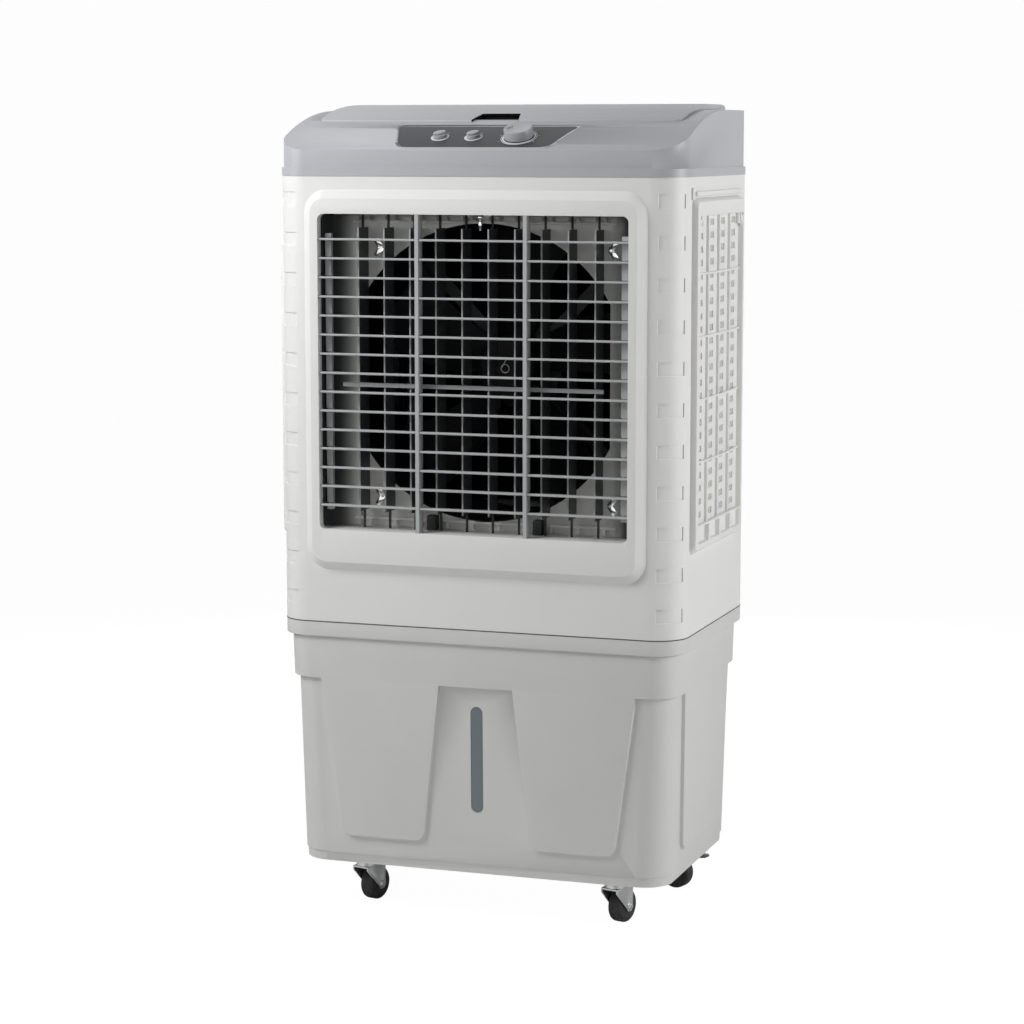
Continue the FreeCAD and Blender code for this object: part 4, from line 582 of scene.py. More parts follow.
class COOLER_OT_casing(bpy.types.Operator):
    """Rounds over the tank and the top cover and gives the casing its finishes"""

    bl_idname = "cooler.casing"
    bl_label = "Casing"

    def execute(self, context):
        low, high = in_mm(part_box("water_tank"))

        def on_tank(point):
            """True on the tank's outside, apart from the window's and the rim's upper edges."""
            if point.z > TANK_RIM_Z - 0.5:
                return shell_distance(point, high.x, high.y, TANK_RIM_R) > -1.5 and point.z < high.z - 7
            share = (point.z - low.z) / (TANK_RIM_Z - low.z)
            half_w, half_d = (foot + draft * share for foot, draft in zip(TANK_FOOT_HALF, TANK_DRAFT))
            return shell_distance(point, half_w, half_d, TANK_FOOT_R) > -2.5 and abs(point.x) > WINDOW_HALF

        tank = round_edges(copy_of("water_tank", "tank_moulding"), on_tank, setting_mm("case_edge"))
        settle(tank, "casing", "tank", "tank_plastic", "water_tank")

        cover_foot = in_mm(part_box("top_cover"))[0].z

        def on_cover(point):
            """True on the cover's outside, above its band."""
            return shell_distance(point, *COVER_WALLS) > -1.5 and point.z > cover_foot + 30

        cover = round_edges(copy_of("top_cover", "cover_moulding"), on_cover, setting_mm("cover_edge"), 5)
        settle(cover, "casing", "cover", "cover_plastic", "top_cover", smooth=40)

        seam_z = (SEAM_LOW[2] + SEAM_HIGH[2]) / 2
        # A thin dark band round the shell at the seam: painted shade in the joint.
        seam = block("seam_gasket", SEAM_LOW, SEAM_HIGH)
        round_edges(seam, lambda p: abs(p.z - seam_z) < 0.1, TANK_RIM_R, 10)
        settle(seam, "casing", "seam_shade", "dark_plastic")
        dress("housing_shell", "housing")
        dress("level_window", "window")
        dress("drain_plug", "dark")
        dress("cable_gland", "dark")
        return {"FINISHED"}


class COOLER_OT_lid(bpy.types.Operator):
    """Rounds over the lid and paints shade into its finger notch"""

    bl_idname = "cooler.lid"
    bl_label = "Lid"

    def execute(self, context):
        lid_foot = in_mm(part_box("top_lid"))[0].z

        def on_lid(point):
            """True on the lid's upper edges, clear of its hinge."""
            return point.z > lid_foot + 1 and abs(point.y - LID_HINGE_Y) > 8

        def in_notch(point, normal):
            """True on the notch's walls, but not on the lid's top."""
            return (NOTCH_X[0] < point.x < NOTCH_X[1] and NOTCH_Y[0] < point.y < NOTCH_Y[1]
                    and abs(normal.z) < 0.75)

        lid = round_edges(copy_of("top_lid", "lid_moulding"), on_lid, 0.7, 2, 40)
        sliced(lid, *[((x, 0, 0), (1, 0, 0)) for x in NOTCH_X], ((0, NOTCH_Y[1], 0), (0, 1, 0)))
        # The notch's walls and a cup inside it take near black as painted shade.
        shade_walls = split_off(lid, "notch_lining", in_notch)
        cup = block("notch_cup", (-34, -75, 1159), (30, -57.4, 1177), 0.8)
        cut(cup, block("hollow", (-33, -76, 1160), (29, -58.4, 1182)))
        settle(lid, "lid", "cover", "cover_plastic", "top_lid")
        settle(joined("finger_notch", [cup, shade_walls]), "lid", "shade_black", "dark_plastic")
        return {"FINISHED"}


# Air outlet


OPENING_HALF_W, OPENING_Z = 235, (578, 1038)
MULLION_X = 82
THROAT_DEPTH, MULLION_DEPTH = 14, 0.4
CLIP_X, CLIP_Z = (-162, 198), (988, 623)
FOOT_POST_X = (-74, 89)
VANE_COUNT, VANE_FIRST_X, VANE_PITCH = 10, -180, 40
VANE_AXIS_Y, VANE_NECK_HALF = -163, 2.6
VANE_FOOT_NECK, VANE_HEAD_NECK = 28, 23
CARRIER_Y = (-148.5, -146.2)
COVING_EDGE, COVING_REACH, COVING_Z = (-192, -190), (41, 43), (579, 1035)
PIN_X, PIN_Y = -3, -150.5


class COOLER_OT_outlet(bpy.types.Operator):
    """Rounds over the outlet frame and finishes the blades, vanes and bars"""

    bl_idname = "cooler.outlet"
    bl_label = "Air outlet"

    def execute(self, context):
        face_y = in_mm(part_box("outlet_bezel"))[0].y
        z0, z1 = OPENING_Z

        def on_face(point):
            """True on the frame's front edges, outside the opening."""
            outside = abs(point.x) > OPENING_HALF_W + 1 or not z0 + 1 < point.z < z1 - 1
            return point.y < face_y + 0.5 and outside

        def in_opening(point):
            """True inside the opening and on its walls."""
            return abs(point.x) < OPENING_HALF_W + 0.6 and z0 - 0.6 < point.z < z1 + 0.6

        def on_mullion(point, normal):
            """True on the two mullions, between their ends."""
            return in_opening(point) and abs(abs(point.x) - MULLION_X) < 4 and z0 + 1 < point.z < z1 - 1

        def on_throat(point, normal):
            """True on the opening's walls behind the front band, but not on its floor."""
            return in_opening(point) and point.y > face_y + THROAT_DEPTH - 0.5 and point.z > z0 + 2

        bezel = round_edges(copy_of("outlet_bezel", "outlet_frame"), on_face, setting_mm("bezel_edge"), 4)
        sliced(bezel, *[((0, face_y + depth, 0), (0, 1, 0)) for depth in (THROAT_DEPTH, MULLION_DEPTH)])
        mullions = split_off(bezel, "outlet_mullions", on_mullion)
        # The walls behind the front band, but not the floor, are split off to take painted shade.
        throat = split_off(bezel, "outlet_throat", on_throat)
        settle(bezel, "casing", "housing", "housing_plastic", "outlet_bezel")
        settle(mullions, "casing", "louvre", "louvre_plastic")
        settle(throat, "casing", "throat", "louvre_plastic")
        # The carriers take the shroud's finish, with its painted shade wherever they come inside the duct's
        # radius.
        settle(vane_carriers(), "casing", "shroud", "shroud_plastic")
        clips = joined("shroud_spring_clips", [leaf_clip(x, z) for x in CLIP_X for z in CLIP_Z])
        settle(clips, "casing", "spring", "zinc_steel")
        settle(top_pin(), "casing", "spring", "zinc_steel")
        coving = outlet_coving()
        settle(mirror_of(coving, "outlet_coving_right"), "casing", "coving", "shroud_plastic")
        settle(coving, "casing", "coving", "shroud_plastic")
        # The foot posts take the same dark grey as the throat's painted shade.
        posts = [block("post", (x - 7, -168, 578.2), (x + 7, -152, 600), 1.2) for x in FOOT_POST_X]
        settle(joined("outlet_foot_posts", posts), "casing", "throat", "dark_plastic")
        for node in list(frame["nodes"]):
            if node.startswith("louvre"):
                dress(node, "louvre")
            if node.startswith("swing_vane_"):
                settle(vane_leaf(node), node, "vane", "louvre_plastic", node)
        # The link bar takes the vanes' finish, with its painted shade behind the front edge.
        dress("vane_link_bar", "vane")
        # The shroud carries the painted shade of its duct.
        dress("fan_shroud", "shroud")
        return {"FINISHED"}


def vane_leaf(node):
    """A vane with square shoulders and a slim neck at each end."""
    low, high = in_mm(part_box(node))
    cutters = []
    for z0, z1 in ((low.z - 1, low.z + VANE_FOOT_NECK), (high.z - VANE_HEAD_NECK, high.z + 1)):
        for y0, y1 in ((low.y - 1, VANE_AXIS_Y - VANE_NECK_HALF), (VANE_AXIS_Y + VANE_NECK_HALF, high.y + 1)):
            cutters.append(block("corner", (low.x - 1, y0, z0), (high.x + 1, y1, z1)))
    return cut(copy_of(node, node.replace("swing_vane", "vane_leaf")), *cutters)


def outlet_coving():
    """The hollow upright curve from the outlet's left wall to the shroud's plate."""
    start()
    bpy.ops.mesh.primitive_grid_add(x_subdivisions=14, y_subdivisions=1, size=1)
    obj = bpy.context.object
    obj.name = "outlet_coving_left"

    def on_curve(place):
        angle = (place.x + 0.5) * math.pi / 2
        x = COVING_EDGE[0] - COVING_REACH[0] * math.cos(angle)
        y = COVING_EDGE[1] + COVING_REACH[1] * math.sin(angle)
        return Vector((x, y, COVING_Z[0] if place.y < 0 else COVING_Z[1])) * MM

    face_outwards(reshape(obj, on_curve))
    return modifier(obj, "SOLIDIFY", thickness=0.8 * MM, offset=0)


def vane_carriers():
    """The two rails behind the vanes' ends, with a hook beside each pivot."""
    front, rear = CARRIER_Y
    pieces = [block("rail", (-233, front, z), (233, rear, z + 4), 0.6) for z in (1024, 588)]
    for i in range(VANE_COUNT):
        x = VANE_FIRST_X + VANE_PITCH * i
        pieces += [
            block("post", (x + 3.5, -156, 1027.5), (x + 7.5, rear, 1035), 0.8),
            block("lip", (x + 3.5, -157.5, 1027.5), (x + 9.5, -155, 1030), 0.6),
            block("web", (x + 12, front, 1028), (x + 30, rear, 1036), 0.6),
            block("foot", (x + 3.5, -154, 580.5), (x + 7.5, rear, 588), 0.8),
        ]
    return joined("vane_carriers", pieces)


def leaf_clip(x, z):
    """A bent leaf of spring steel that holds the shroud's plate near a corner, its bend pointing inwards."""
    side = -1 if x > 0 else 1
    pieces = []
    for tilt in (1, -1):
        leg = block("leg", (-4, -0.5, -8), (4, 0.5, 8), 0.3)
        pieces.append(placed(leg, (x + 1.5 * side, -149.5, z + 5.5 * tilt), (4 * tilt, -36 * tilt * side, 0)))
    pieces.append(disc("stem", 2, 5, (x + 5 * side, -147.6, z), (0, 1, 0), 16))
    return joined("leaf_clip", pieces)


def top_pin():
    """The bright headed pin that hangs from the outlet's top wall, in front of the fan."""
    head = disc("pin_head", 5.5, 9, (PIN_X, PIN_Y, 1033), (0, 0, 1), 32, 1.2)
    stem = disc("pin_stem", 3.2, 16, (PIN_X, PIN_Y, 1022), (0, 0, 1), 24, 0.8)
    flange = block("pin_flange", (PIN_X - 9, PIN_Y, 1035), (PIN_X + 16, CARRIER_Y[1], 1037.4), 0.5)
    return joined("outlet_top_pin", [head, stem, flange])


# Fan


BLADE_COUNT = 5
HUB_R, HUB_LENGTH, HUB_FRONT_Y, HUB_DOME = 48, 66, -50, 13
BLADE_TIP_R, BLADE_MID_Y = 208.5, -17
BLADE_ROWS, BLADE_COLUMNS = 13, 9
CLIP_R, CLIP_WIRE_R = 6.2, 1.0


class COOLER_OT_fan(bpy.types.Operator):
    """Models the fan: a domed hub, five twisted blades and the spring clip on its shaft"""

    bl_idname = "cooler.fan"
    bl_label = "Fan"

    def execute(self, context):
        hub = disc("fan_hub", HUB_R, HUB_LENGTH, (0, HUB_FRONT_Y + HUB_LENGTH / 2, FAN_Z), (0, 1, 0), 64)
        round_edges(hub, lambda p: p.y < HUB_FRONT_Y + 1, HUB_DOME, 6)
        blade = fan_blade(HUB_R - 3)
        blades = [blade] + [turned_copy(blade, 360 / BLADE_COUNT * i) for i in range(1, BLADE_COUNT)]
        shaft = disc("fan_shaft_stub", 6, 72, (0, 22, FAN_Z), (0, 1, 0), 24)
        fan = joined("fan_moulding", [hub] + blades + [shaft])
        settle(fan, "fan_rotor", "fan", "fan_plastic", "fan")
        clip = spring_clip(Vector((0, HUB_FRONT_Y - 1.2, FAN_Z)))
        settle(clip, "fan_rotor", "zinc", "zinc_steel")
        dress("fan_motor", "dark")
        # A near-black sheet behind the fan, as painted shade.
        sheet = block("rear_filter_sheet", (-226, 152.6, 586), (226, 153.6, 1034))
        modifier(sheet, "BEVEL", width=0.3 * MM, segments=1)
        settle(sheet, "casing", "shade_black", "dark_plastic")
        return {"FINISHED"}


def turned_copy(obj, degrees):
    """A copy of a piece turned about the fan's axis."""
    pick(obj)
    bpy.ops.object.duplicate()
    made = bpy.context.object
    bpy.ops.transform.rotate(value=math.radians(degrees), orient_axis="Y", center_override=at(0, 0, FAN_Z))
    bpy.ops.object.transform_apply()
    return made


def fan_blade(root_r):
    """One blade: a strip along +Z, each row wider and flatter than the one below, with a swept front."""
    start()
    bpy.ops.mesh.primitive_grid_add(x_subdivisions=BLADE_COLUMNS - 1, y_subdivisions=BLADE_ROWS - 1, size=1)
    obj = bpy.context.object
    obj.name = "fan_blade"

    def on_blade(place):
        share = place.y + 0.5
        radius = root_r + (BLADE_TIP_R - root_r) * share
        chord = 64 + 66 * share ** 0.8
        pitch = math.radians(46 - 22 * share)
        sweep = math.radians(10 * share ** 2)
        camber = (1 - 4 * place.x ** 2) * 7
        along = place.x * chord
        x = along * math.cos(pitch) - camber * math.sin(pitch)
        y = along * math.sin(pitch) + camber * math.cos(pitch)
        angle = x / max(radius, 60) + sweep
        return Vector(at(radius * math.sin(angle), BLADE_MID_Y + y, FAN_Z + radius * math.cos(angle)))

    reshape(obj, on_blade)
    return modifier(obj, "SOLIDIFY", thickness=2.4 * MM, offset=0)


def spring_clip(centre):
    """The bright wire clip on the fan's shaft: a ring with one bent tail."""
    start()
    bpy.ops.mesh.primitive_torus_add(location=at(*centre), rotation=(math.radians(90), 0, 0),
                                     major_radius=CLIP_R * MM, minor_radius=CLIP_WIRE_R * MM,
                                     major_segments=36, minor_segments=10)
    ring = bpy.context.object
    tail_from = centre + Vector((-CLIP_R, 0, 0))
    tail_to = centre + Vector((2.5, 0, 15))
    run = tail_to - tail_from
    tail = disc("clip_tail", CLIP_WIRE_R, run.length, (tail_from + tail_to) / 2, run, 10)
    bend = disc("clip_end", CLIP_WIRE_R, 7, tail_to + Vector((3, 0, 0.4)), (1, 0, 0.1), 10)
    return joined("shaft_spring_clip", [ring, tail, bend])


# Intake grilles, each made along X with its back on y = 0


GRILLE_Z0, GRILLE_H = 556, 507
GRILLE_FOOT, GRILLE_TOP = 41, 26
COLUMN_W = 62
RAIL_COUNT, RAIL_PITCH = 4, 89.5
NET_HOLE_W = 20


def grille_columns(in0, in1):
    """How many columns an opening is shared into, and their pitch."""
    count = round((in1 - in0) / COLUMN_W)
    return count, (in1 - in0) / count


def grille_frame(u0, u1, in0, in1, depth):
    """The grille's chamfered frame, with its opening and the slots in its foot."""
    z0, z1 = GRILLE_Z0, GRILLE_Z0 + GRILLE_H
    obj = block("grille_frame", (u0, -depth, z0), (u1, 0, z1))
    mesh = edit(obj)
    for edge in mesh.edges:
        a, b = (v.co for v in edge.verts)
        edge.select_set(abs(a.y - b.y) > depth / 2 * MM)
    bmesh.update_edit_mesh(obj.data)
    bpy.ops.mesh.bevel(offset=10 * MM, segments=5)
    select_faces(obj, lambda p, n: n.y < -0.9)
    shrink = (1 - 3 / (u1 - u0), 1, 1 - 12 / (z1 - z0))
    bpy.ops.transform.resize(value=shrink, center_override=at((u0 + u1) / 2, -depth, (z0 + z1) / 2))
    close()
    holes = [block("hole", (in0, -2 * depth, z0 + GRILLE_FOOT), (in1, depth, z1 - GRILLE_TOP))]
    count, pitch = grille_columns(in0, in1)
    for i in range(count):
        left = in0 + i * pitch + 3
        holes.append(block("slot", (left, -2 * depth, z0 + 14), (left + pitch - 6, 7 - depth, z0 + 38)))
    return soften(cut(obj, *holes), 0.7, 2, 30)


def bowed(obj, u0, u1, bow):
    """Bows a straight rail outwards along its length."""
    sliced(obj, *[((u0 + (u1 - u0) * i / 12, 0, 0), (1, 0, 0)) for i in range(1, 12)])

    def outwards(place):
        share = 2 * (place.x / MM - u0) / (u1 - u0) - 1
        return place - Vector((0, bow * MM * (1 - min(1.0, share * share)), 0))

    return reshape(obj, outwards)


def grille_bars(in0, in1, depth, bow):
    """The upright bars between the columns, and the thin rails that bow over them."""
    z0 = GRILLE_Z0 + GRILLE_FOOT - 1
    z1 = GRILLE_Z0 + GRILLE_H - GRILLE_TOP + 1
    count, pitch = grille_columns(in0, in1)
    pieces = []
    for i in range(1, count):
        u = in0 + i * pitch
        pieces.append(block("bar", (u - 1.5, -5, z0), (u + 1.5, 0, z1), 0.5))
    for i in range(RAIL_COUNT):
        z = GRILLE_Z0 + GRILLE_FOOT + (i + 1) * RAIL_PITCH
        rail = block("rail", (in0 - 1, bow - depth, z - 1.5), (in1 + 1, bow + 3.4 - depth, z + 1.5), 0.8)
        pieces.append(bowed(rail, in0, in1, bow))
    return pieces


def dust_net(in0, in1, open_column):
    """The moulded net behind the bars: one row of small holes up each column, and a slot beside each bar.

    A fine pale cloth lies close behind every column but the open one.
    """
    z0 = GRILLE_Z0 + GRILLE_FOOT - 2
    z1 = GRILLE_Z0 + GRILLE_H - GRILLE_TOP + 2
    step = setting_mm("net_pitch")
    count, pitch = grille_columns(in0, in1)
    side = (pitch - NET_HOLE_W) / 2
    pieces = []
    for i in range(count):
        u = in0 + i * pitch
        hole_from, hole_to = u + side, u + side + NET_HOLE_W
        first = u - 2 if i == 0 else u + 5.5
        last = u + pitch + 2 if i == count - 1 else u + pitch
        pieces.append(block("stile", (first, -1.0, z0), (hole_from, 0.3, z1)))
        pieces.append(block("stile", (hole_to, -1.0, z0), (last, 0.3, z1)))
        if i != open_column:
            pieces.append(block("backing", (hole_from - 1, 1.4, z0), (hole_to + 1, 2.0, z1)))
        for j in range(int((z1 - z0) / step) + 1):
            z = z0 + j * step
            strip_top = min(z + 0.5 * step, z1)
            pieces.append(block("strip", (hole_from - 1, -0.9, z), (hole_to + 1, 0.4, strip_top)))
    return pieces


def grille_latches(in0, in1, depth):
    """The two screwed latches in the top corners of the opening."""
    top = GRILLE_Z0 + GRILLE_H - GRILLE_TOP
    pieces = []
    for side, u in ((1, in0), (-1, in1)):
        tab = block("tab", (-2.2, 0.4 - depth, -17), (2.2, 5 - depth, 4), 1.0)
        pieces.append(placed(tab, (u + side * 9, 0, top - 4), (0, side * 22, 0)))
        pieces.append(disc("screw", 5, 3, (u + side * 3, 2.4 - depth, top - 9), (0, 1, 0), 32, 0.9))
        pad_from, pad_to = sorted((u, u + side * 16))
        pieces.append(block("pad", (pad_from, 3 - depth, top - 16), (pad_to, -1, top + 2), 0.8))
    return pieces


def lift_lip(u0, u1):
    """The finger lip on the housing above a grille."""
    z = GRILLE_Z0 + GRILLE_H
    return block("lift_lip", (u0, -4.2, z + 1.5), (u1, 0.5, z + 9), 2.0, 4)


def catch_bump():
    """The small upright bump on the casing beside the right grille's lip."""
    return placed(block("catch_bump", (-1.6, -5.5, -8.5), (1.6, 5.5, 8.5), 1.4, 4), (311.4, -142, 1068.5))


def intake_grille(name, u0, u1, in0, in1, depth, bow, open_column=None):
    """A whole intake grille between its outer edges, open between its inner ones."""
    pieces = [grille_frame(u0, u1, in0, in1, depth)]
    pieces += grille_bars(in0, in1, depth, bow) + grille_latches(in0, in1, depth)
    pieces.append(lift_lip(max(u0, in0), min(u1, in1 + 8)))
    return joined(name, pieces + dust_net(in0, in1, open_column))


class COOLER_OT_grilles(bpy.types.Operator):
    """Models the three intake grilles: frame, bowed rails, bars, foot slots, latches and dust net"""

    bl_idname = "cooler.grilles"
    bl_label = "Intake grilles"

    def execute(self, context):
        right = intake_grille("side_intake_right", -144, 118, -128, 110, depth=9, bow=5, open_column=2)
        placed(right, (310, 0, 0), (0, 0, 90))
        right = joined("side_intake_right", [right, catch_bump()])
        left = mirror_of(right, "side_intake_left")
        settle(right, "casing", "housing", "housing_plastic", "side_grille_right")
        settle(left, "casing", "housing", "housing_plastic", "side_grille_left")
        rear = intake_grille("rear_intake", -250, 250, -228, 228, depth=12, bow=5)
        placed(rear, (0, 192, 0), (0, 0, 180))
        settle(rear, "casing", "housing", "housing_plastic", "rear_grille")
        dress("cooling_pads", "pad")
        dress("water_distributor", "shroud")
        dress("water_pump", "dark")
        dress("riser_hose", "dark")
        return {"FINISHED"}


# Controls


# The cover's top is an arc along Y: its radius, its middle and its height there.
ARC_R, ARC_Y, ARC_TOP_Z = 490, 40, 1187
PANEL_RISE = 0.5
KNOB_Y = -154
ARC_RUN = ARC_Y - KNOB_Y
SLOPE_TILT = math.degrees(math.asin(ARC_RUN / ARC_R))
SLOPE_Z = ARC_TOP_Z - ARC_R + math.sqrt(ARC_R ** 2 - ARC_RUN ** 2) + PANEL_RISE
SPEED_X, SWING_X, PUMP_X = 57, -63, -12
# Node, place across the panel, radius, height, then the grip's size, place and turn as knob_body takes them.
KNOBS = (
    ("speed_knob", SPEED_X, 21.5, 14.5, (0.07, 0.24, 1.2), -0.56, -40),
    ("swing_switch_knob", SWING_X, 10, 4.5, (0.6, 0.88, 2.8), 0, -55),
    ("pump_switch_knob", PUMP_X, 10, 4.5, (0.6, 0.88, 2.8), 0, -55),
)


def on_slope(obj, x):
    """Stands a piece, made on the origin, on the panel at a knob's place."""
    return placed(obj, (x, KNOB_Y, SLOPE_Z), (SLOPE_TILT, 0, 0))


def knob_body(name, radius, height, grip_size, grip_aside, grip_turn):
    """A round knob: a slightly tapered skirt, a dished top, a waisted grip or pointer, and its stem.

    The grip's half width, half length and place are shares of the radius; its rise is a length.
    """
    top = 1 + height
    body = disc(name, radius, height, (0, 0, (1 + top) / 2), (0, 0, 1), 72)
    select_faces(body, lambda p, n: n.z > 0.9)
    bpy.ops.transform.resize(value=(0.95, 0.95, 1), center_override=at(0, 0, top))
    bpy.ops.mesh.inset(thickness=radius * 0.1 * MM)
    bpy.ops.transform.translate(value=at(0, 0, -0.03 * radius))
    close()
    soften(body, 0.06 * radius, 3, 30)
    half_w, half_l, rise = grip_size[0] * radius, grip_size[1] * radius, grip_size[2]
    grip = block("grip", (-half_w, -half_l, top - 2), (half_w, half_l, top + rise))
    sliced(grip, *[((0, half_l * (i / 4 - 1), 0), (0, 1, 0)) for i in range(1, 8)])

    def waisted(place):
        share = abs(place.y) / MM / half_l
        return Vector((place.x * math.sqrt(max(0.12, 1.02 - share ** 2)), place.y, place.z))

    reshape(grip, waisted)
    soften(grip, 0.04 * radius, 2, 50)
    placed(grip, (grip_aside * radius, 0, 0), (0, 0, grip_turn))
    stem = disc("stem", 2.9, 10, (0, 0, -3.9), (0, 0, 1), 12)
    return joined(name, [body, grip, stem])


def dial_ring(radius, width):
    """A flat pale ring round a knob, moulded a little proud of the panel."""
    ring = disc("dial_ring", radius, 0.9, (0, 0, 0.1), (0, 0, 1), 72)
    cut(ring, disc("bore", radius - width, 4, (0, 0, 0), (0, 0, 1), 72))
    return soften(ring, 0.3, 2, 50)


def dial_ticks(radius, count, first, last):
    """Short strokes round a dial, one for each setting."""
    strokes = []
    for i in range(count):
        stroke = block("stroke", (-0.35, radius, -0.2), (0.35, radius + 2.2, 0.2), 0.1)
        strokes.append(placed(stroke, (0, 0, 0), (0, 0, first + (last - first) * i / (count - 1))))
    return strokes


class COOLER_OT_controls(bpy.types.Operator):
    """Models the rings round the knobs, the dial's strokes and the three knobs"""

    bl_idname = "cooler.controls"
    bl_label = "Controls"

    def execute(self, context):
        dress("control_panel", "panel")
        dial = [dial_ring(26.6, 1.0), dial_ring(24.6, 2.6)] + dial_ticks(28.4, 7, -120, 120)
        marks = [on_slope(mark, SPEED_X) for mark in dial]
        for x in (SWING_X, PUMP_X):
            marks += [on_slope(mark, x) for mark in [dial_ring(13.5, 4.2)] + dial_ticks(15.4, 2, -30, 30)]
        settle(joined("dial_marks", marks), "casing", "panel_rim", "knob_plastic")
        for node, x, radius, height, size, aside, turn in KNOBS:
            made = on_slope(knob_body(node + "_moulding", radius, height, size, aside, turn), x)
            settle(made, node, "knob", "knob_plastic", node, smooth=40)
        return {"FINISHED"}


# Casters


def tyred_wheel(name, node):
    """A caster wheel: a round tread with soft shoulders and a hub boss on each side."""
    low, high = in_mm(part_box(node))
    centre = (low + high) / 2
    axis = Vector(JOINTS[node.replace("caster_wheel_", "wheel_") + "_roll"]["axis"])
    tread = disc(name, 25, 22, centre, axis, 64)
    round_edges(tread, lambda p: abs((p - centre).dot(axis)) > 10, 5.5, 5)
    return joined(name, [tread, disc("boss", 8, 23, centre, axis, 32, 0.8)])


class COOLER_OT_casters(bpy.types.Operator):
    """Models the four caster wheels and rounds over the forks and brake pedals"""

    bl_idname = "cooler.casters"
    bl_label = "Casters"

    def execute(self, context):
        dress("caster_plates", "zinc")
        for corner in ("front_left", "front_right", "rear_left", "rear_right"):
            node = "caster_fork_" + corner
            fork = round_edges(copy_of(node, "fork_" + corner), None, 0.5, 2, 40)
            settle(fork, "swivel_" + corner, "zinc", "zinc_steel", node)
            node = "caster_wheel_" + corner
            wheel = tyred_wheel("wheel_tyre_" + corner, node)
            settle(wheel, "wheel_" + corner, "tyre", "wheel_rubber", node)
        for corner in ("rear_left", "rear_right"):
            node = "brake_pedal_" + corner
            pedal = round_edges(copy_of(node, "pedal_" + corner), None, 0.6, 2, 40)
            settle(pedal, "pedal_" + corner, "pedal", "pedal_plastic", node)
        return {"FINISHED"}


# Studio, in metres


WHITE = (1, 1, 1, 1)
PAPER_GLOW = 1.03
PAPER_GLOW_SHARE = 0.95
SEEN_WHITE = 0.985
CAMERA_PLACE = Vector((1.36469, -3.97042, 1.15008))
CAMERA_AIM = Vector((-0.00702, 0.0, 0.58707))
CAMERA_LENS = 98.80
# Name, place, the place it points at, the length of its side, and the setting that holds its power.
LAMPS = (
    ("key_lamp", (-1.0, -1.3, 2.0), (0, -0.1, 0.75), 0.8, "key_light"),
    ("left_lamp", (-1.3, -1.0, 1.4), (0, -0.1, 0.75), 0.8, "left_light"),
    ("side_lamp", (2.3, -0.1, 1.2), (0.31, 0, 0.65), 1.0, "side_light"),
    ("fill_lamp", (0.4, -3.0, 1.4), (0, -0.1, 0.75), 0.8, "fill_light"),
    ("top_lamp", (0, -0.4, 3.0), (0, 0, 1.1), 1.3, "top_light"),
    ("back_lamp", (-0.7, 2.4, 0.75), (0, 0.1, 0.7), 1.2, "back_light"),
)


def floor_paper(name):
    """Pale studio paper that shows white to the camera and keeps a faint shadow."""
    made, tree = blank(name)
    white = tint(tree, "#F2F2F1", 0.01, spots(tree, 40.0))
    paper = add(tree, "ShaderNodeBsdfDiffuse", links={"Color": white})
    glow = add(tree, "ShaderNodeEmission", {"Color": WHITE, "Strength": PAPER_GLOW})
    ray = add(tree, "ShaderNodeLightPath")
    share = add(tree, "ShaderNodeMath", {1: PAPER_GLOW_SHARE}, {0: ray.outputs["Is Camera Ray"]},
                operation="MULTIPLY")
    links = {0: share.outputs[0], 1: paper.outputs[0], 2: glow.outputs[0]}
    finished(tree, add(tree, "ShaderNodeMixShader", links=links))
    return made


def surround(strength):
    """An even surround: white where it is seen or mirrored, and the light's own strength elsewhere."""
    world = bpy.data.worlds.new("studio_surround")
    bpy.context.scene.world = world
    world.use_nodes = True
    tree = world.node_tree
    tree.nodes.clear()
    ray = add(tree, "ShaderNodeLightPath").outputs
    seen = ray["Is Camera Ray"]
    for kind in ("Is Transmission Ray", "Is Glossy Ray"):
        seen = add(tree, "ShaderNodeMath", links={0: seen, 1: ray[kind]}, operation="MAXIMUM").outputs[0]
    light = add(tree, "ShaderNodeBackground", {"Color": WHITE, "Strength": strength})
    white = add(tree, "ShaderNodeBackground", {"Color": WHITE, "Strength": SEEN_WHITE})
    mix = add(tree, "ShaderNodeMixShader", links={0: seen, 1: light.outputs[0], 2: white.outputs[0]})
    add(tree, "ShaderNodeOutputWorld", links={"Surface": mix.outputs[0]})


def lamp(name, place, aim, size, power):
    """A large square lamp that points at a place."""
    start()
    turn = (Vector(aim) - Vector(place)).to_track_quat("-Z", "Y").to_euler()
    bpy.ops.object.light_add(type="AREA", location=place, rotation=turn)
    made = bpy.context.object
    made.name = name
    made.data.shape = "SQUARE"
    made.data.size = size
    made.data.energy = power
    return made


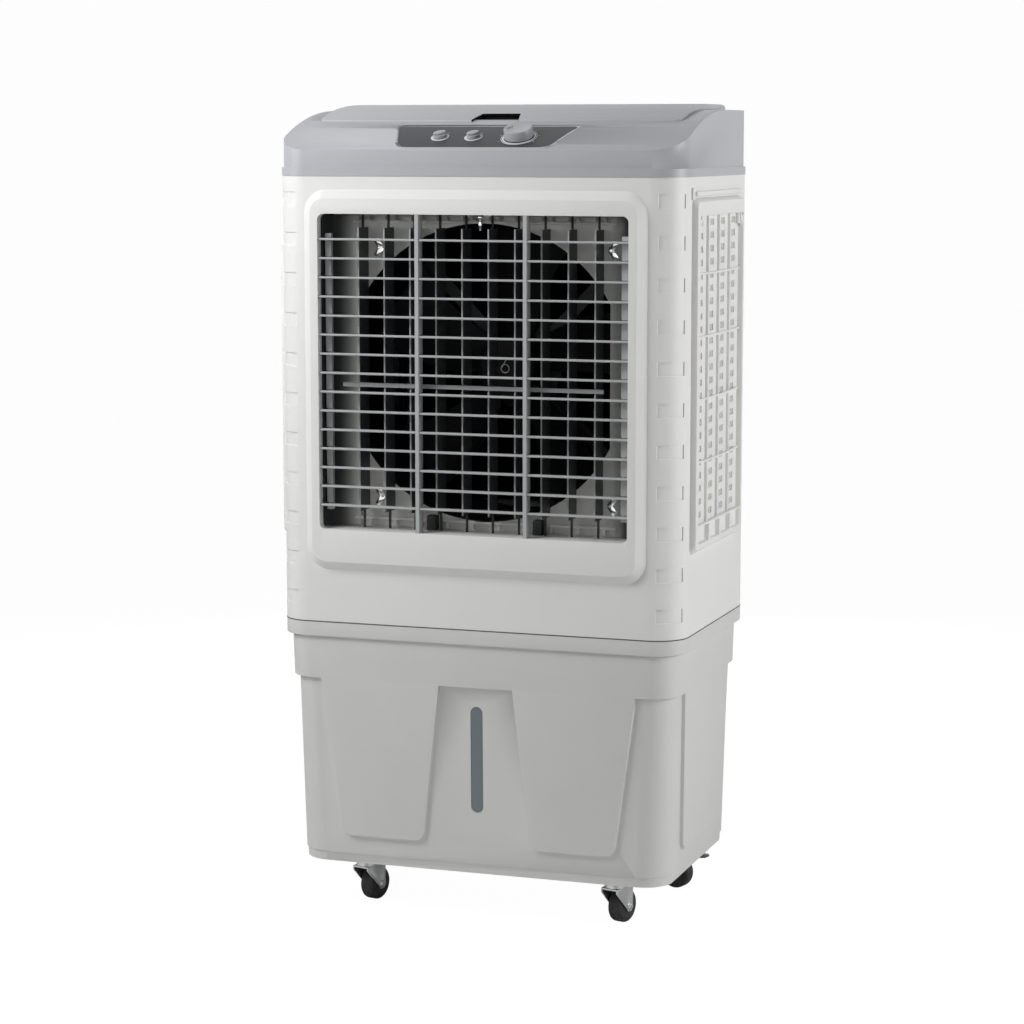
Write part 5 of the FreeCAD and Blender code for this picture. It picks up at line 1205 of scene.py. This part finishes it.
class COOLER_OT_stage(bpy.types.Operator):
    """Sets up the pale floor, the soft lights and the camera at the photograph's angle"""

    bl_idname = "cooler.stage"
    bl_label = "Studio"

    def execute(self, context):
        start()
        bpy.ops.mesh.primitive_plane_add(size=30, location=(0, 0, 0))
        floor = bpy.context.object
        floor.name = "studio_floor"
        floor.data.materials.append(floor_paper("studio_paper"))
        surround(sizes().sky_light)
        for name, place, aim, size, setting in LAMPS:
            lamp(name, place, aim, size, getattr(sizes(), setting))
        start()
        bpy.ops.object.camera_add(location=CAMERA_PLACE)
        camera = bpy.context.object
        camera.name = "photo_camera"
        camera.rotation_euler = (CAMERA_AIM - CAMERA_PLACE).to_track_quat("-Z", "Y").to_euler()
        camera.data.lens = CAMERA_LENS
        camera.data.sensor_width = 36
        camera.data.clip_end = 100
        context.scene.camera = camera
        context.scene.view_settings.view_transform = "Standard"
        return {"FINISHED"}


STEPS = (
    COOLER_OT_casing, COOLER_OT_lid, COOLER_OT_outlet, COOLER_OT_fan, COOLER_OT_grilles, COOLER_OT_controls,
    COOLER_OT_casters, COOLER_OT_stage,
)


class COOLER_PT_panel(bpy.types.Panel):
    """Lists the steps that dress the cooler"""

    bl_label = "Air Cooler"
    bl_idname = "COOLER_PT_panel"
    bl_space_type = "VIEW_3D"
    bl_region_type = "UI"
    bl_category = "Cooler"

    def draw(self, context):
        layout = self.layout
        for group in (context.scene.cooler_colours, context.scene.cooler_sizes):
            box = layout.box()
            for name in group.__annotations__:
                box.prop(group, name)
        for step in STEPS:
            layout.operator(step.bl_idname)


CLASSES = (CoolerColours, CoolerSizes) + STEPS + (COOLER_PT_panel,)


def register():
    """Registers the classes and gives the scene its settings."""
    for cls in CLASSES:
        bpy.utils.register_class(cls)
    bpy.types.Scene.cooler_colours = PointerProperty(type=CoolerColours)
    bpy.types.Scene.cooler_sizes = PointerProperty(type=CoolerSizes)


def unregister():
    """Takes the settings and the classes away again."""
    del bpy.types.Scene.cooler_sizes
    del bpy.types.Scene.cooler_colours
    for cls in reversed(CLASSES):
        bpy.utils.unregister_class(cls)


def main():
    """Dresses the cooler."""
    register()
    Finishes.build(bpy.context.scene.cooler_colours)
    for step in STEPS:
        group, name = step.bl_idname.split(".")
        getattr(getattr(bpy.ops, group), name)()


if __name__ == "__main__":
    main()
